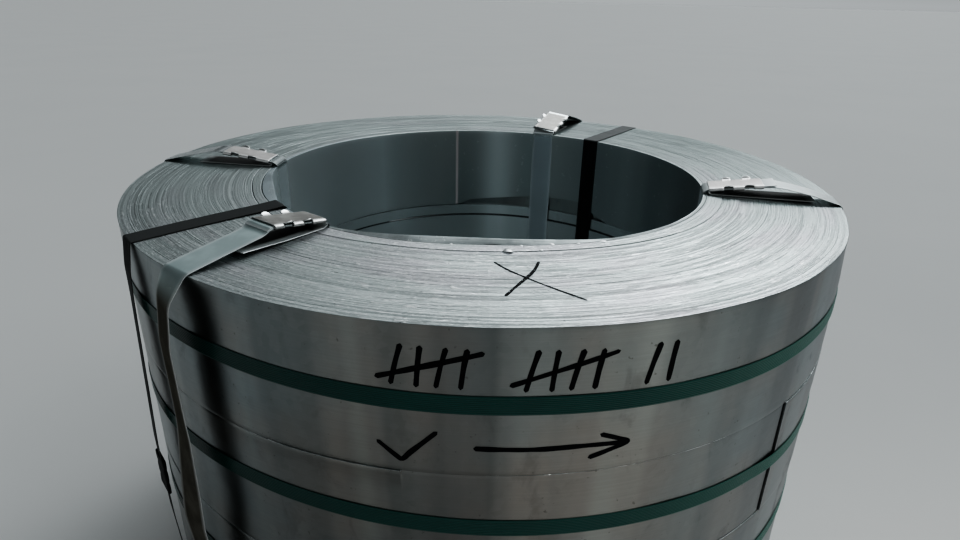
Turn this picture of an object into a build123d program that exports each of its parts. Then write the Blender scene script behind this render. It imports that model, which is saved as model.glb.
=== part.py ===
from build123d import *
import math
import os

# Strapped pack of slit galvanised steel coils, standing eye to the sky.
# Millimetres. +Z is up, the eye of the coils is the Z axis, and z = 0 is the
# level that the eye straps' undersides rest on. Azimuths are degrees
# anticlockwise from +X seen from above, so -90 faces the front (-Y).

# ---- driving dimensions -------------------------------------------------
COIL_OD = 794.0            # outside of the wound strip
EYE_D = 508.0              # bore, the usual 20 inch winding mandrel
STRIP_WIDTH = 122.0        # width of the slit strip = height of one coil
COIL_COUNT = 4             # coils in the pack
EDGE_BREAK = 0.5           # softened outer edges of each coil
EYE_BREAK = 0.6            # softened eye edges at the pack's two ends

TAIL_AZ = -48.0            # where the outer end of the strip lies, second coil
TAIL_GAP = 3.0             # width of the open seam at that end
TAIL_DEPTH = 0.7           # two wraps of 0.35 mm strip

BAND_WIDTH = 15.0          # green plastic band round each coil
BAND_THICK = 0.9
# height of the band's middle below the coil pack's top, and how far it runs
# off level towards +X and +Y (top coil first)
BAND_LEVEL = [(-62.9, -5.0, -2.5), (-190.0, -10.0, -19.0),
              (-301.0, -4.0, -7.0), (-427.0, 3.0, 2.0)]

EYE_STRAP_WIDTH = 32.0     # wide zinc-coated steel straps through the eye
EYE_STRAP_THICK = 0.7
EYE_STRAP_AZ = {"front_left": -126.75, "right": -13.5, "back": 71.0,
                "back_left": 176.5}

SEAL_LENGTH = 56.0         # crimped seal that joins each eye strap on top
SEAL_WIDTH = 37.0
SEAL_WALL = 1.0
SEAL_SLOPE = 9.13          # the seal climbs away from the eye's edge
SEAL_NOTCH = (-7.5, 14.0)  # middles of its crimp notches, from its own middle
# how much further out than the eye's edge each seal has been crimped
SEAL_OUT = {"front_left": 0.0, "right": 1.0, "back": 1.5, "back_left": 6.0}

BLACK_STRAP_WIDTH = 24.0   # narrow black straps through the eye
BLACK_STRAP_THICK = 0.6
BLACK_STRAP_AZ = {"front_left": -141.0, "back": 51.7}

# ---- derived ------------------------------------------------------------
R_OUT = COIL_OD / 2
R_EYE = EYE_D / 2
BASE = EYE_STRAP_THICK                       # the coils lie on the eye straps
TOP = BASE + COIL_COUNT * STRIP_WIDTH        # upper face of the top coil

os.makedirs("parts", exist_ok=True)


def save(shape, name):
    shape.label = name
    export_step(shape, "parts/" + name + ".step")


def radial_plane(azimuth):
    """Upright plane through the axis: local x runs outwards, local y is up."""
    a = math.radians(azimuth)
    return Plane(origin=(0, 0, 0), x_dir=(math.cos(a), math.sin(a), 0),
                 z_dir=(math.sin(a), -math.cos(a), 0))


def _unit(a, b):
    dx, dy = b[0] - a[0], b[1] - a[1]
    n = math.hypot(dx, dy)
    return dx / n, dy / n


def strip_face(points, radii, thick, closed):
    """Section of a bent strip: straight runs joined by arcs, one thickness.

    points are the corners of the centre line, radii the bend radius at each
    corner (centre line). The left and right sides are exact offsets.
    """
    n = len(points)
    h = thick / 2
    corners = range(n) if closed else range(1, n - 1)
    arcs = {}
    for i in corners:
        p, q, s = points[i - 1], points[i], points[(i + 1) % n]
        d0, d1 = _unit(p, q), _unit(q, s)
        cross = d0[0] * d1[1] - d0[1] * d1[0]
        dot = d0[0] * d1[0] + d0[1] * d1[1]
        turn = math.atan2(cross, dot)
        r = radii[i]
        back = r * math.tan(abs(turn) / 2)
        side = 1 if turn > 0 else -1
        t0 = (q[0] - d0[0] * back, q[1] - d0[1] * back)
        centre = (t0[0] - d0[1] * r * side, t0[1] + d0[0] * r * side)
        arcs[i] = (centre, r, side, math.atan2(t0[1] - centre[1], t0[0] - centre[0]), turn)

    def chain(sign):
        """Edges of one side, sign +1 for the left of the travel direction."""
        segs = []
        order = list(range(n))
        for i in order:
            if i in arcs:
                c, r, side, a0, turn = arcs[i]
                rr = r - sign * side * h
                pts = [(c[0] + rr * math.cos(a0 + turn * f),
                        c[1] + rr * math.sin(a0 + turn * f)) for f in (0, 0.5, 1)]
                segs.append(pts)
            else:
                d = _unit(points[0], points[1]) if i == 0 else _unit(points[-2], points[-1])
                q = points[i]
                segs.append([(q[0] - d[1] * h * sign, q[1] + d[0] * h * sign)])
        edges = []
        for k, s in enumerate(segs):
            if len(s) == 3:
                edges.append(ThreePointArc(s[0], s[1], s[2]))
            nxt = segs[(k + 1) % len(segs)]
            if k < len(segs) - 1 or closed:
                edges.append(Line(s[-1], nxt[0]))
        return edges, segs[0][0], segs[-1][-1]

    left, l0, l1 = chain(+1)
    right, r0, r1 = chain(-1)
    if closed:
        a, b = make_face(left), make_face(right)
        big, small = (a, b) if a.area > b.area else (b, a)
        return big - small
    return make_face(left + right + [Line(l0, r0), Line(l1, r1)])


def strip_solid(points, radii, thick, width, azimuth, closed):
    face = strip_face(points, radii, thick, closed)
    return radial_plane(azimuth).location * extrude(face, amount=width / 2, both=True)


# ---- slit coils: one turned solid each ----------------------------------
def coil(level):
    """level 0 is the top coil."""
    z0 = BASE + (COIL_COUNT - 1 - level) * STRIP_WIDTH
    z1 = z0 + STRIP_WIDTH
    e = EDGE_BREAK
    low = [(R_EYE, z0)]
    high = [(R_EYE, z1)]
    if level == COIL_COUNT - 1:
        low = [(R_EYE, z0 + EYE_BREAK), (R_EYE + EYE_BREAK, z0)]
    if level == 0:
        high = [(R_EYE + EYE_BREAK, z1), (R_EYE, z1 - EYE_BREAK)]
    corners = low + [(R_OUT - e, z0), (R_OUT, z0 + e),
                     (R_OUT, z1 - e), (R_OUT - e, z1)] + high
    section = make_face(Polyline(*corners, close=True))
    return revolve(Plane.XZ * section, axis=Axis.Z, revolution_arc=360), z0


for level in range(COIL_COUNT):
    solid, z0 = coil(level)
    if level == 1:
        # open seam where the outer wraps of the second coil end
        seam = Box(2 * TAIL_DEPTH, TAIL_GAP, STRIP_WIDTH + 2)
        seam = Pos(R_OUT, 0, z0 + STRIP_WIDTH / 2) * seam
        solid = solid - Rot(0, 0, TAIL_AZ) * seam
    save(solid, "slit_coil_%d" % (level + 1))

# ---- green plastic bands -------------------------------------------------
for level in range(COIL_COUNT):
    mid, tilt_x, tilt_y = BAND_LEVEL[level]
    ring = Cylinder(R_OUT + BAND_THICK, 3 * BAND_WIDTH + 40) - \
        Cylinder(R_OUT, 3 * BAND_WIDTH + 42)
    ring = Pos(0, 0, TOP + mid) * ring
    gx, gy = tilt_x / R_OUT, tilt_y / R_OUT
    slab_plane = Plane(origin=(0, 0, TOP + mid), z_dir=(-gx, -gy, 1.0))
    slab = slab_plane.location * Box(1200, 1200, BAND_WIDTH)
    save(ring & slab, "green_band_%d" % (level + 1))

# ---- wide steel eye straps and their crimped seals ------------------------
wall_gap = 0.02
half = EYE_STRAP_WIDTH / 2
U_IN = math.sqrt((R_EYE - wall_gap) ** 2 - half ** 2) - EYE_STRAP_THICK / 2
slope = math.tan(math.radians(SEAL_SLOPE))


def top_line(u):
    """Height of the seal's mid line above the top coil."""
    return TOP + 3.1 + (u - 255.0) * slope


LAYER = 0.40               # each strap layer lies this far from the mid line
SEAL_FROM = 257.5          # where the nearest seal's end lies, by the eye
lay_z = LAYER / math.cos(math.radians(SEAL_SLOPE))

# outer run of each strap: corner over the top edge, then down the side
SIDE_RUN = {
    "front_left": [(398.4, TOP + 1.0, 9), (411.0, TOP - 18, 28), (415.6, TOP - 55, 60),
                   (414.6, TOP - 140, 120), (420.0, TOP - 232, 90)],
    "right": [(398.6, TOP + 1.0, 8), (402.6, TOP - 22, 25), (402.2, TOP - 120, 120)],
    "back": [(398.6, TOP + 1.0, 8), (404.5, TOP - 24, 25), (403.0, TOP - 150, 120)],
    "back_left": [(398.9, TOP + 1.1, 2.6), (399.1, TOP - 60, 100), (398.8, TOP - 250, 120)],
}

for name, az in EYE_STRAP_AZ.items():
    route = [(322.0, top_line(322.0) + lay_z, 0)]
    route.append((U_IN, top_line(U_IN) + lay_z, 2.6))
    route.append((U_IN, EYE_STRAP_THICK / 2, 0.8))
    route.append((R_OUT + BAND_THICK + 0.5, EYE_STRAP_THICK / 2, 1.3))
    route += list(reversed(SIDE_RUN[name]))
    route.append((323.5, top_line(323.5) - lay_z, 14))
    route.append((SEAL_FROM + 1.5, top_line(SEAL_FROM + 1.5) - lay_z, 0))
    pts = [(p[0], p[1]) for p in route]
    rad = [p[2] for p in route]
    strap = strip_solid(pts, rad, EYE_STRAP_THICK, EYE_STRAP_WIDTH, az, False)
    save(strap, "eye_strap_" + name)

    inner_h = 2 * LAYER + EYE_STRAP_THICK + 0.16
    outer_h = inner_h + 2 * SEAL_WALL
    seal = Box(SEAL_LENGTH, outer_h, SEAL_WIDTH) - \
        Box(SEAL_LENGTH + 2, inner_h, EYE_STRAP_WIDTH + 0.8)
    for x in SEAL_NOTCH:
        for side in (-1, 1):
            # crimp notches bitten into both long edges
            seal = seal - Pos(x, 0, side * SEAL_WIDTH / 2) * Box(7.0, outer_h + 2, 3.6)
    u_seal = SEAL_FROM + SEAL_OUT[name] + SEAL_LENGTH / 2 * math.cos(math.radians(SEAL_SLOPE))
    seal = Pos(u_seal, top_line(u_seal), 0) * Rot(0, 0, SEAL_SLOPE) * seal
    save(radial_plane(az).location * seal, "strap_seal_" + name)

# ---- narrow black straps and their seals ----------------------------------
half_b = BLACK_STRAP_WIDTH / 2
UB_IN = math.sqrt((R_EYE - 0.05) ** 2 - half_b ** 2) - BLACK_STRAP_THICK / 2
BLACK_SIDE = {
    "front_left": [(398.8, TOP + 0.35, 2.0), (402.6, TOP - 26, 60), (409.6, TOP - 205, 300),
                   (408.6, TOP - 290, 300)],
    "back": [(398.8, TOP + 0.35, 2.0), (400.6, TOP - 120, 400), (400.6, TOP - 365, 400)],
}
BLACK_SEAL_AT = {"front_left": (409.16, TOP - 243.0, -0.674), "back": (400.6, TOP - 242.5, 0.0)}

for name, az in BLACK_STRAP_AZ.items():
    route = [(UB_IN, TOP + 0.35, 0.7)]
    route.append((UB_IN, 0.32, 0.8))
    route.append((R_OUT + BAND_THICK + 0.5, 0.32, 1.3))
    route += list(reversed(BLACK_SIDE[name]))
    pts = [(p[0], p[1]) for p in route]
    rad = [p[2] for p in route]
    strap = strip_solid(pts, rad, BLACK_STRAP_THICK, BLACK_STRAP_WIDTH, az, True)
    save(strap, "black_strap_" + name)

    u, z, lean = BLACK_SEAL_AT[name]
    seal_width = BLACK_STRAP_WIDTH + 5.0
    seal = Box(2.8, 38.0, seal_width) - Box(BLACK_STRAP_THICK + 0.24, 40.0, BLACK_STRAP_WIDTH + 0.6)
    for y in (-8.0, 8.0):
        for side in (-1, 1):
            seal = seal - Pos(0, y, side * seal_width / 2) * Box(4.0, 5.0, 2.6)
    seal = Pos(u, z, 0) * Rot(0, 0, lean) * seal
    save(radial_plane(az).location * seal, "black_seal_" + name)
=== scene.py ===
import math

import bpy
import numpy as np
from mathutils import Matrix, Vector


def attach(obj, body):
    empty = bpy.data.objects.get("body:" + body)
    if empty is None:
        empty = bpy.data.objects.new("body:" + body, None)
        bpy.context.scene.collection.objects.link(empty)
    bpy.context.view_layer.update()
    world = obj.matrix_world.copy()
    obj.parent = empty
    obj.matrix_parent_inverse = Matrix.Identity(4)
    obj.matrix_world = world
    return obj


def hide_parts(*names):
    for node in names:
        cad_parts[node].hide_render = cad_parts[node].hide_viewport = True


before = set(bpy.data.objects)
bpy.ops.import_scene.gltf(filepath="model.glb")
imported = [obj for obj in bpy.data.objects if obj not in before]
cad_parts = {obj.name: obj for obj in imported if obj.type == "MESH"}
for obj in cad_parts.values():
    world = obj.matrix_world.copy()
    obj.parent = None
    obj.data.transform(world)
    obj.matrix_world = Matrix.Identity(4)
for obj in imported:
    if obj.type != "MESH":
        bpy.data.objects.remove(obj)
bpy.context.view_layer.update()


# ---------------------------------------------------------------- sizes, in mm
R_OUT, R_EYE = 397.0, 254.0
WIDTH = 122.0
BASE = 0.7
TOP = BASE + 4 * WIDTH
MM = 0.001
RAD = math.pi / 180.0


# ---------------------------------------------------------------- mesh helpers
def mesh_object(name, verts, faces, materials, face_mat=None, smooth=32.0, attrs=None):
    """A mesh from vertices in mm and faces of four."""
    verts = np.asarray(verts, float).reshape(-1, 3)
    faces = np.asarray(faces, np.int64).reshape(-1, 4)
    me = bpy.data.meshes.new(name)
    me.vertices.add(len(verts))
    me.vertices.foreach_set("co", (verts * MM).astype(np.float32).ravel())
    me.loops.add(faces.size)
    me.loops.foreach_set("vertex_index", faces.astype(np.int32).ravel())
    me.polygons.add(len(faces))
    me.polygons.foreach_set("loop_start", np.arange(0, faces.size, 4, dtype=np.int32))
    for m in materials:
        me.materials.append(m)
    if face_mat is not None:
        me.polygons.foreach_set("material_index", np.asarray(face_mat, np.int32))
    for key, values in (attrs or {}).items():
        a = me.attributes.new(key, "FLOAT", "POINT")
        a.data.foreach_set("value", np.asarray(values, np.float32).ravel())
    me.update(calc_edges=True)
    me.validate()
    if smooth:
        me.shade_smooth()
        me.set_sharp_from_angle(angle=math.radians(smooth))
    else:
        me.shade_flat()
    ob = bpy.data.objects.new(name, me)
    bpy.context.scene.collection.objects.link(ob)
    return ob


def grid_faces(nu, nv, wrap_u=False, wrap_v=False, start=0):
    iu = np.arange(nu if wrap_u else nu - 1)
    iv = np.arange(nv if wrap_v else nv - 1)
    a, b = np.meshgrid(iu, iv, indexing="ij")
    a2, b2 = (a + 1) % nu, (b + 1) % nv
    return (np.stack([a * nv + b, a2 * nv + b, a2 * nv + b2, a * nv + b2], -1).reshape(-1, 4) + start)


def outward(verts, faces):
    """The faces, turned so that a closed mesh has its normals outside."""
    v = verts[faces]
    c = verts.mean(0)
    p = v - c
    vol = np.einsum("ij,ij->i", p[:, 0], np.cross(p[:, 1], p[:, 2])).sum() + np.einsum("ij,ij->i", p[:, 0], np.cross(p[:, 2], p[:, 3])).sum()
    return faces if vol > 0 else faces[:, ::-1]


def cyl(r, az, z):
    """Points from radius, azimuth in degrees and height."""
    a = np.asarray(az) * RAD
    r, a, z = np.broadcast_arrays(r, a, z)
    return np.stack([r * np.cos(a), r * np.sin(a), z], -1)


def wave(rng, lo, hi, power=0.5):
    """A smooth random function of azimuth, about 1 high, that closes after a full turn."""
    ms = np.arange(lo, hi + 1)
    amp = rng.normal(size=len(ms)) / ms.astype(float) ** power
    amp /= math.sqrt((amp ** 2).sum() / 2) + 1e-9
    ph = rng.uniform(0, 2 * math.pi, len(ms))

    def f(az):
        a = np.asarray(az)[..., None] * RAD
        return (amp * np.cos(ms * a + ph)).sum(-1)

    return f


def hump(az, a0, a1, power=1.0):
    """0 outside a0..a1 and a smooth rise to 1 halfway, with azimuths in degrees."""
    x = (np.mod(np.asarray(az) - a0, 360.0)) / (a1 - a0)
    return np.where(x < 1.0, np.sin(np.clip(x, 0, 1) * math.pi) ** power, 0.0)


def round_the_eye(points, az):
    """A closed smooth curve through (azimuth, value) points, at azimuths az."""
    a, v = np.array(sorted(points)).T
    fine = np.arange(-180.0, 180.0, 0.5)
    f = np.interp(fine, a, v, period=360.0)
    k = np.hanning(11)
    f = np.convolve(np.concatenate([f[-5:], f, f[:5]]), k / k.sum(), "valid")
    return np.interp(np.mod(np.asarray(az, float) + 180.0, 360.0) - 180.0, fine, f, period=360.0)


def smoothstep(x, lo, hi):
    t = np.clip((np.asarray(x, float) - lo) / (hi - lo), 0, 1)
    return t * t * (3 - 2 * t)


# ---------------------------------------------------------------- node helpers
class Graph:
    def __init__(self, name):
        self.mat = bpy.data.materials.new(name)
        self.mat.use_nodes = True
        self.t = self.mat.node_tree
        self.t.nodes.clear()
        self.out = self.t.nodes.new("ShaderNodeOutputMaterial")
        self.b = self.t.nodes.new("ShaderNodeBsdfPrincipled")
        self.t.links.new(self.b.outputs[0], self.out.inputs[0])
        self.xyz = self.node("ShaderNodeTexCoord").outputs["Object"]

    def node(self, kind, **props):
        n = self.t.nodes.new(kind)
        for k, v in props.items():
            setattr(n, k, v)
        return n

    def put(self, sock, v):
        if isinstance(v, bpy.types.NodeSocket):
            self.t.links.new(v, sock)
        elif v is not None:
            if hasattr(sock.default_value, "__len__") and not hasattr(v, "__len__"):
                v = (v,) * len(sock.default_value)
            elif hasattr(sock.default_value, "__len__") and len(sock.default_value) == 4 and len(v) == 3:
                v = tuple(v) + (1.0,)
            sock.default_value = v

    def math(self, op, a, b=None, c=None, clamp=False):
        n = self.node("ShaderNodeMath", operation=op, use_clamp=clamp)
        for s, v in zip(n.inputs, (a, b, c)):
            self.put(s, v)
        return n.outputs[0]

    def vmath(self, op, a, b=None, scale=None):
        n = self.node("ShaderNodeVectorMath", operation=op)
        self.put(n.inputs[0], a)
        if b is not None:
            self.put(n.inputs[1], b)
        if scale is not None:
            self.put(n.inputs["Scale"], scale)
        return n.outputs["Value"] if op in ("LENGTH", "DOT_PRODUCT") else n.outputs[0]

    def sep(self, v):
        n = self.node("ShaderNodeSeparateXYZ")
        self.put(n.inputs[0], v)
        return n.outputs

    def comb(self, x, y, z):
        n = self.node("ShaderNodeCombineXYZ")
        for s, v in zip(n.inputs, (x, y, z)):
            self.put(s, v)
        return n.outputs[0]

    def noise(self, vec, scale=1.0, detail=2.0, rough=0.5, dist=0.0, color=False):
        n = self.node("ShaderNodeTexNoise")
        self.put(n.inputs["Vector"], vec)
        n.inputs["Scale"].default_value = scale
        n.inputs["Detail"].default_value = detail
        n.inputs["Roughness"].default_value = rough
        n.inputs["Distortion"].default_value = dist
        return n.outputs["Color" if color else "Fac"]

    def voronoi(self, vec, scale, feature="F1", out="Distance"):
        n = self.node("ShaderNodeTexVoronoi", feature=feature)
        self.put(n.inputs["Vector"], vec)
        n.inputs["Scale"].default_value = scale
        return n.outputs[out]

    def remap(self, v, lo, hi, a=0.0, b=1.0, smooth=True):
        n = self.node("ShaderNodeMapRange", interpolation_type="SMOOTHSTEP" if smooth else "LINEAR")
        self.put(n.inputs["Value"], v)
        for k, x in (("From Min", lo), ("From Max", hi), ("To Min", a), ("To Max", b)):
            self.put(n.inputs[k], x)
        return n.outputs[0]

    def mix(self, fac, a, b, blend="MIX"):
        n = self.node("ShaderNodeMix", data_type="RGBA", blend_type=blend)
        n.clamp_factor = True
        self.put(n.inputs[0], fac)
        self.put(n.inputs[6], a)
        self.put(n.inputs[7], b)
        return n.outputs[2]

    def attr(self, name):
        return self.node("ShaderNodeAttribute", attribute_name=name).outputs["Fac"]

    def bump(self, height, strength, distance, normal=None):
        n = self.node("ShaderNodeBump")
        n.inputs["Strength"].default_value = strength
        n.inputs["Distance"].default_value = distance
        self.put(n.inputs["Height"], height)
        if normal is not None:
            self.put(n.inputs["Normal"], normal)
        return n.outputs[0]

    def set(self, **kw):
        for k, v in kw.items():
            self.put(self.b.inputs[k.replace("_", " ")], v)


# ---------------------------------------------------------------- materials
def steel_wall(name, cool=(0.29, 0.33, 0.337), warm=(0.345, 0.337, 0.32)):
    """Galvanised strip: the outer turn and the wall of the eye."""
    g = Graph(name)
    x, y, z = g.sep(g.xyz)
    streak = g.noise(g.comb(g.math("MULTIPLY", x, 15.0), g.math("MULTIPLY", y, 15.0), g.math("MULTIPLY", z, 0.9)), detail=3.0, rough=0.6)
    wide = g.noise(g.comb(g.math("MULTIPLY", x, 13.0), g.math("MULTIPLY", y, 13.0), g.math("MULTIPLY", z, 0.8)), detail=2.0, rough=0.5, dist=0.2)
    cloud = g.noise(g.xyz, 9.0, 3.0, 0.55)
    roll = g.noise(g.comb(g.math("MULTIPLY", x, 5.0), g.math("MULTIPLY", y, 5.0), g.math("MULTIPLY", z, 900.0)), detail=3.0, rough=0.6)
    spangle = g.voronoi(g.xyz, 140.0, out="Color")
    spangle = g.vmath("DOT_PRODUCT", spangle, (0.34, 0.33, 0.33))
    smear = g.noise(g.comb(g.math("MULTIPLY", x, 34.0), g.math("MULTIPLY", y, 34.0), g.math("MULTIPLY", z, 22.0)), detail=5.0, rough=0.62, dist=0.6)
    smear = g.remap(smear, 0.56, 0.72)
    spots = g.remap(g.noise(g.xyz, 210.0, 2.0, 0.5), 0.70, 0.78)
    col = g.mix(g.remap(cloud, 0.35, 0.65), cool, warm)
    col = g.mix(g.remap(streak, 0.3, 0.7, 0.0, 0.5), col, (0.20, 0.225, 0.23))
    # painted reflection: wide light and dark vertical bands, at random places
    col = g.mix(g.remap(wide, 0.51, 0.62, 0.0, 0.54), col, (0.39, 0.435, 0.43))
    col = g.mix(g.remap(wide, 0.48, 0.38, 0.0, 0.50), col, (0.165, 0.19, 0.195))
    col = g.mix(g.math("MULTIPLY", g.remap(spangle, 0.2, 0.8, smooth=False), 0.10), col, (0.42, 0.44, 0.45))
    col = g.mix(g.math("MULTIPLY", smear, 0.22), col, (0.13, 0.135, 0.13))
    col = g.mix(g.math("MULTIPLY", g.remap(roll, 0.3, 0.7, smooth=False), 0.14), col, (0.16, 0.165, 0.165))
    col = g.mix(g.math("MULTIPLY", spots, 0.5), col, (0.10, 0.10, 0.095))
    # painted reflection: the outer turn is painted a little warmer at the front and darker towards the right and at the
    # far left
    front = g.math("MULTIPLY", g.remap(x, 0.26, 0.10), g.math("MULTIPLY", g.remap(x, -0.20, -0.08), g.remap(y, -0.05, -0.20)))
    col = g.mix(front, col, (1.065, 1.0, 0.955), "MULTIPLY")
    col = g.mix(g.math("MULTIPLY", g.remap(x, 0.16, 0.32), g.remap(y, 0.0, -0.10)), col, (0.62, 0.64, 0.67), "MULTIPLY")
    col = g.mix(g.math("MULTIPLY", g.remap(x, -0.29, -0.36), g.remap(y, 0.0, -0.08)), col, (0.66, 0.66, 0.66), "MULTIPLY")
    # painted reflection: a dark vertical column down the wall at azimuths -97 to -88
    az = g.math("ARCTAN2", y, x)
    column = g.math("MULTIPLY", g.remap(az, -97.5 * RAD, -93.5 * RAD), g.remap(az, -87.6 * RAD, -88.9 * RAD))
    col = g.mix(g.math("MULTIPLY", column, 0.42), col, (0.10, 0.11, 0.115))
    rough = g.math("ADD", g.remap(streak, 0.3, 0.7, 0.0, 0.02), g.remap(cloud, 0.3, 0.7, 0.278, 0.30))
    rough = g.math("ADD", rough, g.math("MULTIPLY", smear, 0.10))
    rough = g.math("ADD", rough, g.math("MULTIPLY", roll, 0.02))
    nrm = g.bump(roll, 0.10, 0.00012)
    nrm = g.bump(spangle, 0.05, 0.0002, nrm)
    nrm = g.bump(g.noise(g.xyz, 26.0, 2.0, 0.5), 0.35, 0.0012, nrm)
    g.set(Base_Color=col, Metallic=1.0, Roughness=rough, Anisotropic=0.45, Normal=nrm)
    g.b.inputs["Anisotropic Rotation"].default_value = 0.25
    return g.mat


def eye_wall(name, lift=0.0, rough_at=0.28, end_az=None, ledge=None):
    """The innermost turn: smoother and duller, and a little brushed down its height; with painted light, paler in bands
    at the back and towards the left, and painted shade towards the right.
    """
    g = Graph(name)
    x, y, z = g.sep(g.xyz)
    r = g.vmath("LENGTH", g.comb(x, y, 0.0))
    way = g.comb(g.math("DIVIDE", x, r), g.math("DIVIDE", y, r), 0.0)

    def band(az, power):
        return g.math("POWER", g.math("MAXIMUM", g.vmath("DOT_PRODUCT", way, (math.cos(az * RAD), math.sin(az * RAD), 0.0)), 0.0), power)

    streak = g.noise(g.comb(g.math("MULTIPLY", x, 11.0), g.math("MULTIPLY", y, 11.0), g.math("MULTIPLY", z, 0.5)), detail=2.0, rough=0.5)
    cloud = g.noise(g.xyz, 6.0, 2.0, 0.5)
    fleck = g.remap(g.noise(g.xyz, 160.0, 2.0, 0.5), 0.66, 0.76)
    col = g.mix(g.remap(cloud, 0.35, 0.65), (0.345, 0.40, 0.405), (0.39, 0.435, 0.44))
    col = g.mix(g.remap(streak, 0.35, 0.68, 0.0, 0.40), col, (0.64, 0.68, 0.67))
    col = g.mix(g.math("MULTIPLY", fleck, 0.35), col, (0.74, 0.78, 0.78))
    # painted light: pale bands at the back (azimuths 134 and 86), and, with lift, paler towards the left
    pale = g.math("ADD", g.math("MULTIPLY", band(134.0, 90.0), 0.60), g.math("MULTIPLY", band(86.0, 260.0), 0.75))
    pale = g.math("ADD", pale, g.remap(x, -0.06, -0.22, lift, lift + 0.95), clamp=True)
    col = g.mix(pale, col, (0.84, 0.91, 0.92))
    # painted shade: darker towards the right
    col = g.mix(g.remap(x, 0.02, 0.22), col, (0.78, 0.79, 0.80), "MULTIPLY")
    rough = g.remap(cloud, 0.3, 0.7, rough_at, rough_at + 0.07)
    metal = 0.72
    if end_az is not None:  # the cut end of the innermost turn, a thin pinkish line down the wall
        # the line is wider and paler than the cut edge itself: partly the cut edge, partly a painted highlight
        d = g.math("ABSOLUTE", g.math("SUBTRACT", g.math("ARCTAN2", y, x), end_az * RAD))
        line = g.math("MULTIPLY", g.remap(d, 0.0120, 0.0045), g.remap(streak, 0.30, 0.65, 0.75, 0.5))
        col = g.mix(line, col, (0.98, 0.84, 0.84))
        metal = g.math("SUBTRACT", 0.72, g.math("MULTIPLY", line, 0.45))
    if ledge is not None:  # the dark line over the turns that lie a little lower
        # painted shade: a dark line at the step where the turns lie a little lower, strongest at the back
        dz = g.math("ABSOLUTE", g.math("SUBTRACT", z, ledge * MM))
        col = g.mix(g.math("MULTIPLY", g.remap(dz, 0.0017, 0.0008), g.remap(y, 0.05, 0.14, 0.0, 0.85)), col, (0.03, 0.035, 0.035))
    nrm = g.bump(g.noise(g.xyz, 9.0, 2.0, 0.5), 0.20, 0.0015)
    g.set(Base_Color=col, Metallic=metal, Roughness=rough, Normal=nrm)
    return g.mat


def turn_edges(name):
    """The slit edges of the turns, packed side by side on a coil's end."""
    g = Graph(name)
    x, y, z = g.sep(g.xyz)
    r = g.vmath("LENGTH", g.comb(x, y, 0.0))
    cx, sy = g.math("DIVIDE", x, r), g.math("DIVIDE", y, r)

    def rings(per_m, turns, detail=2.0, rough=0.5):
        return g.noise(g.comb(g.math("MULTIPLY", r, per_m), g.math("MULTIPLY", cx, turns), g.math("MULTIPLY", sy, turns)), detail=detail, rough=rough)

    fine = rings(1300.0, 1.6, 2.0, 0.7)
    turns = rings(420.0, 2.2, 3.0, 0.65)
    broad = rings(70.0, 1.1, 2.0, 0.5)
    sand = rings(640.0, 62.0, 2.0, 0.6)
    dash = rings(430.0, 26.0, 1.0, 0.5)
    dash2 = rings(560.0, 58.0, 1.0, 0.5)
    spark = rings(1150.0, 95.0, 1.0, 0.5)
    where = g.remap(g.noise(g.xyz, 9.0, 2.0, 0.5), 0.40, 0.62)
    cloud = g.noise(g.xyz, 7.0, 3.0, 0.6)
    tint = g.remap(rings(26.0, 2.4, 2.0, 0.5), 0.46, 0.66)
    # the front gets the bright dashes and sparkle, which are painted glints, and the dark dashes
    front = g.remap(y, -0.12, -0.27, 0.10, 1.0)
    bright = g.math("MULTIPLY", g.math("MULTIPLY", g.remap(dash, 0.615, 0.665), g.remap(where, 0.0, 1.0, 0.35, 1.0)), front)
    dark = g.math("MULTIPLY", g.remap(dash2, 0.272, 0.240), front)
    col = g.mix(g.remap(turns, 0.3, 0.7, smooth=False), (0.565, 0.625, 0.62), (0.635, 0.69, 0.685))
    col = g.mix(g.math("MULTIPLY", tint, 0.55), col, (0.66, 0.60, 0.655))
    col = g.mix(g.remap(broad, 0.35, 0.7, 0.0, 0.16), col, (0.50, 0.53, 0.53))
    col = g.mix(g.math("MULTIPLY", g.remap(fine, 0.35, 0.7, smooth=False), 0.22), col, (0.34, 0.365, 0.365))
    col = g.mix(g.math("MULTIPLY", g.remap(sand, 0.38, 0.64, smooth=False), 0.30), col, (0.36, 0.385, 0.385))
    col = g.mix(g.remap(cloud, 0.4, 0.7, 0.0, 0.18), col, (0.47, 0.485, 0.485))
    # painted shade: the back, the left and a band on the right are painted a little duller and darker
    col = g.mix(g.remap(x, -0.13, -0.33, 0.0, 0.72), col, (0.37, 0.415, 0.41))
    dull = g.remap(y, -0.14, 0.24, 0.0, 0.68)
    dull = g.math("ADD", dull, g.math("MULTIPLY", g.remap(x, 0.06, 0.36), g.remap(y, -0.26, -0.06, 0.0, 0.36)), clamp=True)
    col = g.mix(dull, col, (0.235, 0.272, 0.268))
    # painted highlight: bright sparkle and dashes on the turns' edges at the front
    col = g.mix(g.math("MULTIPLY", g.remap(spark, 0.60, 0.67), g.math("MULTIPLY", front, 0.55)), col, (0.93, 0.96, 0.96))
    col = g.mix(g.math("MULTIPLY", bright, 0.85), col, (0.95, 0.97, 0.97))
    col = g.mix(g.math("MULTIPLY", dark, 0.6), col, (0.07, 0.07, 0.075))
    rough = g.math("SUBTRACT", g.remap(turns, 0.3, 0.7, 0.48, 0.38), g.math("MULTIPLY", bright, 0.10))
    h = g.math("ADD", g.math("MULTIPLY", turns, 0.20), g.math("MULTIPLY", fine, 0.30))
    h = g.math("ADD", h, g.math("MULTIPLY", sand, 0.52))
    h = g.math("ADD", h, g.math("MULTIPLY", bright, 0.55))
    h = g.math("MULTIPLY", h, g.remap(x, -0.18, -0.32, 1.0, 0.5))
    nrm = g.bump(h, 0.50, 0.0009)
    g.set(Base_Color=col, Metallic=1.0, Roughness=rough, Normal=nrm)
    return g.mat


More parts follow.
